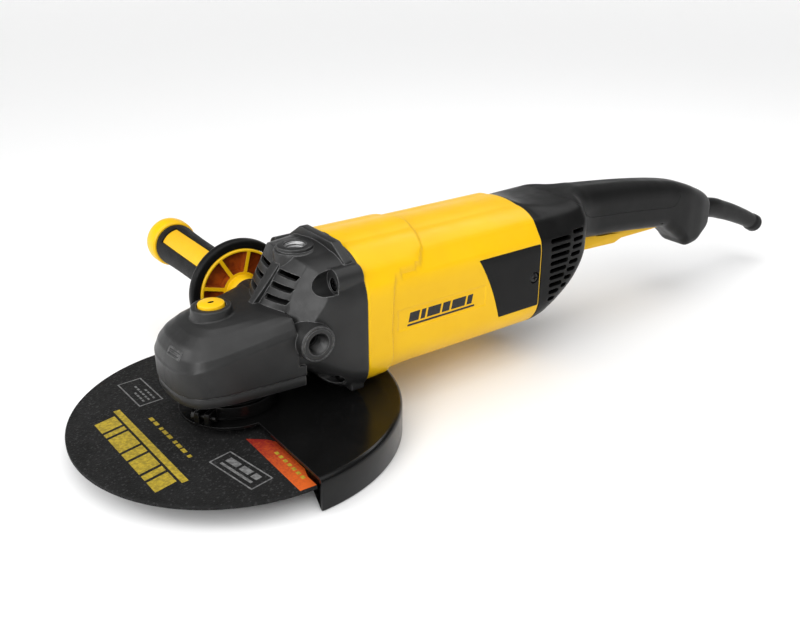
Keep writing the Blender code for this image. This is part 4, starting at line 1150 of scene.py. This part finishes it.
def make_finish(name, colour, second, roughness, patch_scale, grain_scale, grain, edge_wear_and_highlight_colour=None,
                edge_radius=0.0004, sheen=0.5, spread=0.05, metallic=0):
    """A finish with blotches of a second colour, grain, uneven gloss and optional lighter edges, partly
    wear and partly painted highlight.
    """
    paint = Paint(name)
    paint.base = paint.mix(paint.remap(paint.noise(patch_scale, 4), 0.35, 0.65), colour, second)
    normal = {}
    if edge_wear_and_highlight_colour:
        # the rounded normal leaves the face's own along the edges only, and the lighter edge colour, part
        # wear and part painted highlight, follows that
        rounded = paint.add("Bevel", [("samples", 6)], Radius=edge_radius).outputs["Normal"]
        normal["Normal"] = rounded
        flat = paint.add("NewGeometry").outputs["Normal"]
        agreement = paint.pair("VectorMath", "DOT_PRODUCT", rounded, flat)["Value"]
        # mask of the lighter edges: worn paint and painted edge highlight both
        edge_wear_and_highlight_mask = paint.calc("MULTIPLY", paint.remap(agreement, 0.995, 0.93),
                          paint.remap(paint.noise(patch_scale * 6), 0.4, 0.6, 0.35, 1))
        paint.base = paint.mix(edge_wear_and_highlight_mask, paint.base, edge_wear_and_highlight_colour)
    gloss = paint.remap(paint.noise(patch_scale * 3, 4), 0.3, 0.7, roughness - spread, roughness + spread)
    paint.surface(Base_Color=paint.base, Roughness=gloss, Metallic=metallic, Specular_IOR_Level=sheen)
    paint.bump(paint.noise(grain_scale, 2), grain, 0.0002, **normal)
    return paint


def make_cast_material():
    """Charcoal coated casting, bare bright thread inside the boss holes, painted darker in the side holes
    as painted shade.
    """
    cast_metallic, bare_radius = 0.25, 0.00745
    # the edge colour grey(0.17) is partly worn coating and partly painted edge highlight
    paint = make_finish("cast_charcoal", grey(0.017), grey(0.024), 0.4, 45, 1500, 0.4, grey(0.17), 0.0009,
                        0.45, metallic=cast_metallic)
    place = paint.split()
    sideways = paint.calc("ABSOLUTE", place["Y"])
    masks = []
    for first, second, centre, depth, start in (
            ("X", "Y", (TOP_BOSS_X * MM, 0), place["Z"], 0.114),
            ("X", "Z", (BOSS_X * MM, MOTOR_Z * MM), sideways, 0.036)):
        a, b = (paint.calc("SUBTRACT", place[axis], value) for axis, value in zip((first, second), centre))
        squares = paint.calc("ADD", paint.calc("MULTIPLY", a, a), paint.calc("MULTIPLY", b, b))
        inside = paint.calc("LESS_THAN", paint.calc("SQRT", squares), bare_radius)
        masks.append(paint.calc("MULTIPLY", inside, paint.calc("GREATER_THAN", depth, start)))
    bare = paint.calc("MAXIMUM", *masks)
    # bare thread: lighter grey in the top hole, darker grey in the side holes as painted shade
    thread = paint.mix(paint.calc("GREATER_THAN", place["Z"], 0.1), grey(0.09), grey(0.4))
    paint.surface(Base_Color=paint.mix(bare, paint.base, thread),
                  Metallic=paint.calc("MAXIMUM", bare, cast_metallic))
    return paint.mat


def make_abrasive_material():
    paint = Paint("abrasive_resin")
    specks = paint.cells(900)
    base = paint.mix(paint.remap(paint.noise(60, 5), 0.35, 0.65), grey(0.006), grey(0.011))
    light = paint.calc("MULTIPLY", paint.calc("GREATER_THAN", specks["Color"], 0.8), 0.5)
    paint.surface(Base_Color=paint.mix(light, base, grey(0.045)), Specular_IOR_Level=0.2,
                  Roughness=paint.remap(paint.noise(400), 0.3, 0.7, 0.62, 0.85))
    paint.bump(specks["Distance"], 0.7, 0.0004)
    return paint.mat


def finish_ink(paint, colour):
    paint.surface(Base_Color=colour, Roughness=0.6)
    paint.bump(paint.noise(900), 0.5, 0.0002)
    return paint.mat


def make_print_material(name, first, second):
    """Ink on the abrasive: the grit shows through it."""
    paint = Paint(name)
    return finish_ink(paint, paint.mix(paint.remap(paint.noise(500), 0.4, 0.62), first, second))


def make_band_material():
    """Red band that turns orange towards the rim."""
    paint = Paint("print_band")
    outwards = paint.remap(paint.split()["Y"], -0.045, -0.112)
    blend = paint.calc("ADD", outwards, paint.remap(paint.noise(700), 0.3, 0.7, -0.25, 0.25))
    return finish_ink(paint, paint.mix(blend, (0.22, 0.006, 0.003, 1), (0.62, 0.1, 0.003, 1)))


def make_steel_material(name, colour, roughness, stretch=None):
    """Turned steel with fine tool marks along one direction."""
    paint = Paint(name, stretch)
    marks = paint.noise(900, 4, 0.7)
    darker = tuple(c * 0.72 for c in colour[:3]) + (1,)
    paint.surface(Base_Color=paint.mix(paint.remap(marks, 0.3, 0.7), colour, darker), Metallic=1,
                  Roughness=paint.remap(marks, 0.3, 0.7, roughness - 0.08, roughness + 0.1))
    paint.bump(marks, 0.15, 0.0001)
    return paint.mat


def make_layers_material():
    """Stacked steel sheets: fine stripes across the motor axis."""
    paint = Paint("laminations")
    wave = paint.add("TexWave", [("bands_direction", "X")], Scale=320, Distortion=0.4,
                     Vector=paint.coords).outputs["Fac"]
    paint.surface(Base_Color=paint.mix(wave, (0.08, 0.08, 0.09, 1), (0.3, 0.3, 0.33, 1)), Metallic=0.9,
                  Roughness=paint.remap(paint.noise(200), 0.3, 0.7, 0.35, 0.6))
    paint.bump(wave, 0.3, 0.0003)
    return paint.mat


def make_winding_material():
    """Varnished copper wire: fine strands along the motor axis."""
    paint = Paint("winding", (0.15, 1, 1))
    strands = paint.cells(1100)["Distance"]
    paint.surface(Base_Color=paint.mix(paint.remap(strands, 0, 0.6), (0.62, 0.22, 0.07, 1),
                                       (0.16, 0.045, 0.015, 1)), Metallic=0.85,
                  Roughness=paint.remap(paint.noise(300), 0.3, 0.7, 0.25, 0.45))
    paint.bump(strands, 0.5, 0.0004)
    return paint.mat


cast_metal = make_cast_material()
# The edge colours below, lighter than each base, are partly scuffs and partly painted edge highlight.
yellow = make_finish("yellow_moulding", (0.92, 0.545, 0.004, 1), (0.88, 0.505, 0.004, 1), 0.36, 25, 900,
                     0.12, (0.98, 0.68, 0.06, 1), 0.0005, 0.25).mat
# darker orange for the faces in the wheel's pockets between the spokes: painted shade
yellow_painted_shade = make_finish("yellow_painted_shade", (0.45, 0.085, 0.002, 1), (0.2, 0.025, 0.001, 1), 0.5, 130, 900,
                           0.12).mat
yellow_panel = make_finish("yellow_panel", (0.86, 0.5, 0.004, 1), (0.8, 0.45, 0.004, 1), 0.5, 25, 2600,
                           0.9).mat
black = make_finish("black_moulding", grey(0.0055), grey(0.008), 0.36, 30, 1400, 0.22, grey(0.03),
                    sheen=0.14).mat
soft_black = make_finish("soft_grip_rubber", grey(0.005), grey(0.007), 0.4, 30, 1800, 0.3, sheen=0.14).mat
grip_black = make_finish("grip_texture", grey(0.007), grey(0.011), 0.6, 40, 1500, 1, sheen=0.14).mat
guard_paint = make_finish("guard_enamel", grey(0.003), grey(0.005), 0.22, 18, 350, 0.06, grey(0.04),
                          0.0005, 0.2).mat
screw_steel = make_steel_material("blackened_steel", grey(0.05), 0.34)
bright_steel = make_steel_material("bright_steel", grey(0.55), 0.28, (1, 1, 6))
brass = make_steel_material("brass_metal", (0.62, 0.42, 0.13, 1), 0.34, (1, 1, 5))
carbon = make_finish("carbon_block", grey(0.02), grey(0.035), 0.7, 200, 1500, 0.8, spread=0.1,
                     metallic=0.1).mat
laminations = make_layers_material()
winding = make_winding_material()
abrasive = make_abrasive_material()
gold_ink = make_print_material("print_gold", (0.26, 0.19, 0.012, 1), (0.46, 0.33, 0.02, 1))
silver_ink = make_print_material("print_silver", grey(0.1), grey(0.2))
band_ink = make_band_material()
dark_ink = make_print_material("print_black", grey(0.008), grey(0.016))


# ---------------------------------------------------------------- assembly

def dress(obj, materials, body, slot, *nodes):
    """Material, body and the CAD nodes that a piece stands for; the slot argument is not used."""
    obj.data.materials.clear()
    for mat in materials:
        obj.data.materials.append(mat)
    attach(obj, body)
    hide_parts(*nodes)


def paint_faces(obj, choose):
    """Give each face the material slot that choose(centre, normal) returns, in millimetres."""
    for face in obj.data.polygons:
        face.material_index = choose(face.center / MM, face.normal)


def dress_head():
    dress(make_head(), [cast_metal], "frame", "cast_housing", "gear_housing")
    dress(make_bearing_cover(), [cast_metal], "frame", "cast_housing", "bearing_cover")
    for index, (x, y) in enumerate(COVER_SCREWS, 1):
        screw = make_screw(f"cover_screw_{index}_steel", (x, y, 0), "Z", 4.3, 2.2, 0.9, 40.8, 43.7, 49.7)
        dress(screw, [screw_steel], "frame", "screw_steel", f"cover_screw_{index}")
    places = [(41 * side, MOTOR_Z + 35 * up) for side in (-1, 1) for up in (-1, 1)]
    for index, (y, z) in enumerate(places, 1):
        screw = make_screw(f"housing_screw_{index}_steel", (0, y, z), "X", 4.4, 2.2, 1, 61.8, 66.2, 82)
        dress(screw, [screw_steel], "frame", "screw_steel", f"housing_screw_{index}")
    button = make_button()
    dress(button, [yellow, black], "lock", "yellow_shell", "lock_button")
    paint_faces(button, lambda c, n: int(math.hypot(c.x - BUTTON_X, c.y) < 2.35 and 98 < c.z < 100.9))


DISC_TILT = math.radians(2.4)
BAR_GAP = 2.6
BAR_LEAN = 3


def disc_print():
    """Generic gold, silver and red shapes on the disc, as (outlines, material slot, lift)."""
    def row(shapes, origin, angle=DISC_TILT):
        return [placed(shape, origin, angle) for shape in shapes]

    gold = row([rectangle((0, 0), (4.6, 110))], (-67.2, -63.5))
    y = 1
    for width in (13, 6, 17, 9, 20, 5, 14):
        bar = [(0, y), (15.6, y + BAR_LEAN), (15.6, y + BAR_LEAN + width), (0, y + width)]
        gold += row([bar], (-84.6, -64.5))
        y += width + BAR_GAP
    small = [rectangle((0, k * 7.2), (2.8, k * 7.2 + (5.4 if k % 3 else 3.2))) for k in range(9)]
    gold += row(small, (-52.4, -40))
    dots = [rectangle((line, 5 + k * 4.5), (line + 1.5, 8 + k * 4.5))
            for line, length in ((5, 22), (9, 27), (13, 19)) for k in range(int(length / 4.5))]
    silver = row(frame_outlines(18.5, 40.5, 1) + dots, (-54.2, 42.2))
    blocks = [rectangle((4, 6), (6, 38)),
              rectangle((8.4, 6), (13.4, 12)), rectangle((8.4, 14.5), (13.4, 24)),
              rectangle((8.4, 26.5), (13.4, 38))]
    silver += row(frame_outlines(17.5, 44.5, 1) + blocks, (-35.4, -95.5), math.radians(11))
    band = [(-11.6, -114), (3.2, -114.6), (3.2, -56), (-0.5, -50), (-11.6, -41)]
    marks = [rectangle((-4.2, -104 + k * 5.6), (-1.6, -100.6 + k * 5.6)) for k in range(7)]
    return ((gold, 1, 0), (silver, 2, 0), ([band], 3, 0), (marks, 1, 0.06))


def dress_disc_group():
    dress(make_spindle(), [bright_steel], "spindle", "bright_steel", "spindle")
    flange, nut = make_flange_and_nut()
    dress(flange, [bright_steel], "spindle", "bright_steel", "inner_flange")
    dress(nut, [screw_steel], "spindle", "screw_steel", "clamp_nut")
    disc = make_disc()
    dress(disc, [abrasive, gold_ink, silver_ink, band_ink, dark_ink], "spindle", "abrasive", "cutting_disc")
    for outlines, slot, lift in disc_print():
        print_patch(disc, outlines, slot, lift)
    dress(make_guard(), [guard_paint], "guard", "guard_paint", "guard")
    band_piece, screw = make_clamp_band()
    dress(band_piece, [guard_paint], "guard", "guard_paint", "guard_clamp_band")
    dress(screw, [screw_steel], "guard", "screw_steel", "guard_clamp_screw")


def label_marks(housing, side):
    """Generic bars and an underline in the label recess."""
    bars = []
    x = 118
    for width in (9, 4, 12, 7, 13, 5):
        bars.append([(x, 69.6), (x + width, 69.6), (x + width + 1.6, 77), (x + 1.6, 77)])
        x += width + 1.8
    bars.append(rectangle((117, 66.6), (x + 1, 68.2)))
    join(housing, *(prism(f"mark_{index}", outline, side * (LABEL_FACE - 1.2), side * LABEL_FACE, "Y")
                    for index, outline in enumerate(bars)))


def dress_body():
    housing = make_motor_housing()
    for side in SIDES:
        label_marks(housing, side)
    dress(housing, [yellow, dark_ink], "frame", "yellow_shell", "motor_housing")
    paint_faces(housing, lambda c, n: int(abs(abs(c.y) - LABEL_FACE) < 0.03 and abs(n.y) > 0.9
                                          and 117 < c.x < 183 and 66 < c.z < 78))
    for name, side in NAMED_SIDES:
        dress(make_brush_cover(f"brush_cover_{name}_moulding", side), [black], "frame", "black_shell",
              f"brush_cover_{name}")
        screw = make_screw(f"brush_cover_screw_{name}_steel", BRUSH_SCREW, "Y", 4.2, 1.9, 1,
                           side * 50.2, side * 48.5, side * 43)
        dress(screw, [screw_steel], "frame", "screw_steel", f"brush_cover_screw_{name}")


def dress_handle():
    for name, side in NAMED_SIDES:
        dress(make_handle_shell(f"handle_{name}_moulding", side), [black], "frame", "black_shell",
              f"handle_{name}_shell")
        dress(make_handle_pad(f"handle_{name}_skin", side), [soft_black], "frame", "soft_grip",
              f"handle_{name}_pad")
    dress(make_trigger(), [yellow], "trigger", "yellow_shell", "trigger")
    dress(make_lock_off(), [yellow], "lock_off", "yellow_shell", "lock_off_lever")
    dress(make_cord_guard(), [soft_black], "frame", "soft_grip", "cord_guard")


def dress_side_handle():
    core = make_side_core()
    dress(core, [yellow, yellow_painted_shade, yellow_panel], "frame", "yellow_shell", "side_handle_core")

    def choose(centre, normal):
        radius = math.hypot(centre.x - BOSS_X, centre.z - MOTOR_Z)
        # faces in the pockets between the spokes take the darker orange, which is painted shade
        if 62.3 < centre.y < 69 and 13 < radius < 31.5 and abs(centre.y - 62) > 0.3:
            return 1
        if PANEL_START - 0.5 < centre.y < PANEL_END + 0.5 and radius > 12.5:
            return 2
        return 0

    paint_faces(core, choose)
    dress(make_side_grip(), [grip_black], "frame", "soft_grip", "side_handle_grip")
    dress(make_side_ring(), [soft_black], "frame", "soft_grip", "side_handle_ring")
    dress(make_side_stud(), [bright_steel], "frame", "bright_steel", "side_handle_stud")


CARRIED = {
    "bright_steel": (bright_steel, ("spindle_lower_bearing", "crown_gear", "lock_pin", "lock_spring",
                                    "armature_shaft", "bevel_pinion", "pinion_nut",
                                    "front_armature_bearing", "rear_armature_bearing", "trigger_pin")),
    "brass": (brass, ("spindle_upper_bush", "brush_holder_left", "brush_holder_right")),
    "winding": (winding, ("armature_winding_front", "armature_winding_rear", "commutator",
                          "field_coil_upper", "field_coil_lower")),
    "laminations": (laminations, ("armature_core", "stator_core")),
    "carbon": (carbon, ("carbon_brush_left", "carbon_brush_right")),
    "black": (black, ("cooling_fan", "fan_baffle", "switch_body", "switch_plunger")),
}


def dress_carried():
    """Better finishes on the CAD nodes that are shown as they are."""
    for mat, nodes in CARRIED.values():
        for node in nodes:
            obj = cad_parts[node]
            obj.data.materials.clear()
            obj.data.materials.append(mat)


dress_head()
dress_disc_group()
dress_body()
dress_handle()
dress_side_handle()
dress_carried()


# ---------------------------------------------------------------- studio

def add_camera():
    """The camera at the angle that shows the head's left side."""
    data = bpy.data.cameras.new("camera")
    data.lens = 40.3
    data.sensor_width = 36
    camera = place_object("camera", data)
    camera.location = (-0.2284, -0.5198, 0.3433)
    back = Vector((-0.5314, -0.7370, 0.4178))
    camera.rotation_mode = "QUATERNION"
    camera.rotation_quaternion = (-back).to_track_quat("-Z", "Y")
    bpy.context.scene.camera = camera


def add_light(name, kind, power, target, place=(0, 0, 0), **settings):
    """A lamp at a place, turned towards its target."""
    data = bpy.data.lights.new(name, kind)
    data.energy = power
    for key, value in settings.items():
        setattr(data, key, value)
    light = place_object(name, data)
    light.location = place
    light.rotation_euler = (Vector(target) - Vector(place)).to_track_quat("-Z", "Y").to_euler()


FLOOR_PROFILE = ((1, 0), (1200, 0), (4200, 0), (5000, 60), (5600, 250), (5900, 620), (6000, 1500))
FLOOR_SEGMENTS = 96


def add_stage():
    """A pale floor that turns up into a low wall all round, and the dim world around it."""
    rows = [[(x * MM, y * MM, height * MM) for x, y in circle(radius, FLOOR_SEGMENTS)]
            for radius, height in FLOOR_PROFILE]
    faces = []
    for row in range(len(rows) - 1):
        here, following = row * FLOOR_SEGMENTS, (row + 1) * FLOOR_SEGMENTS
        for k in range(FLOOR_SEGMENTS):
            j = (k + 1) % FLOOR_SEGMENTS
            faces.append((here + k, here + j, following + j, following + k))
    mesh = bpy.data.meshes.new("floor")
    points = [point for row in rows for point in row]
    mesh.from_pydata(points, [], faces + [tuple(range(FLOOR_SEGMENTS - 1, -1, -1))])
    mesh.shade_smooth()
    floor = place_object("floor", mesh)
    floor.location = (0, 0, cad_low.z - 0.0005)
    mat = bpy.data.materials.new("floor_paint")
    mat.use_nodes = True
    shader = mat.node_tree.nodes["Principled BSDF"]
    shader.inputs["Base Color"].default_value = grey(0.92)
    shader.inputs["Roughness"].default_value = 0.9
    floor.data.materials.append(mat)
    world = bpy.data.worlds.new("studio")
    world.use_nodes = True
    background = world.node_tree.nodes["Background"]
    background.inputs["Color"].default_value = grey(1)
    background.inputs["Strength"].default_value = 0.12
    bpy.context.scene.world = world


add_camera()
add_light("sky", "SUN", 2.7, (0.22, 0.28, -1), angle=math.radians(90))
for name, power, target, place, width, depth in (
        ("key", 3.4, (0.03, -0.02, 0.09), (-0.86, -0.46, 0.46), 0.36, 0.36),
        ("front", 2.2, (0.03, 0, 0.1), (-0.72, 0.36, 0.52), 0.36, 0.36),
        ("strip", 2.2, (0.4, 0, 0.1), (0.9, 0.2, 0.9), 0.9, 0.2)):
    add_light(name, "AREA", power, target, place, shape="RECTANGLE", size=width, size_y=depth)
add_stage()
bpy.context.scene.view_settings.view_transform = "Standard"
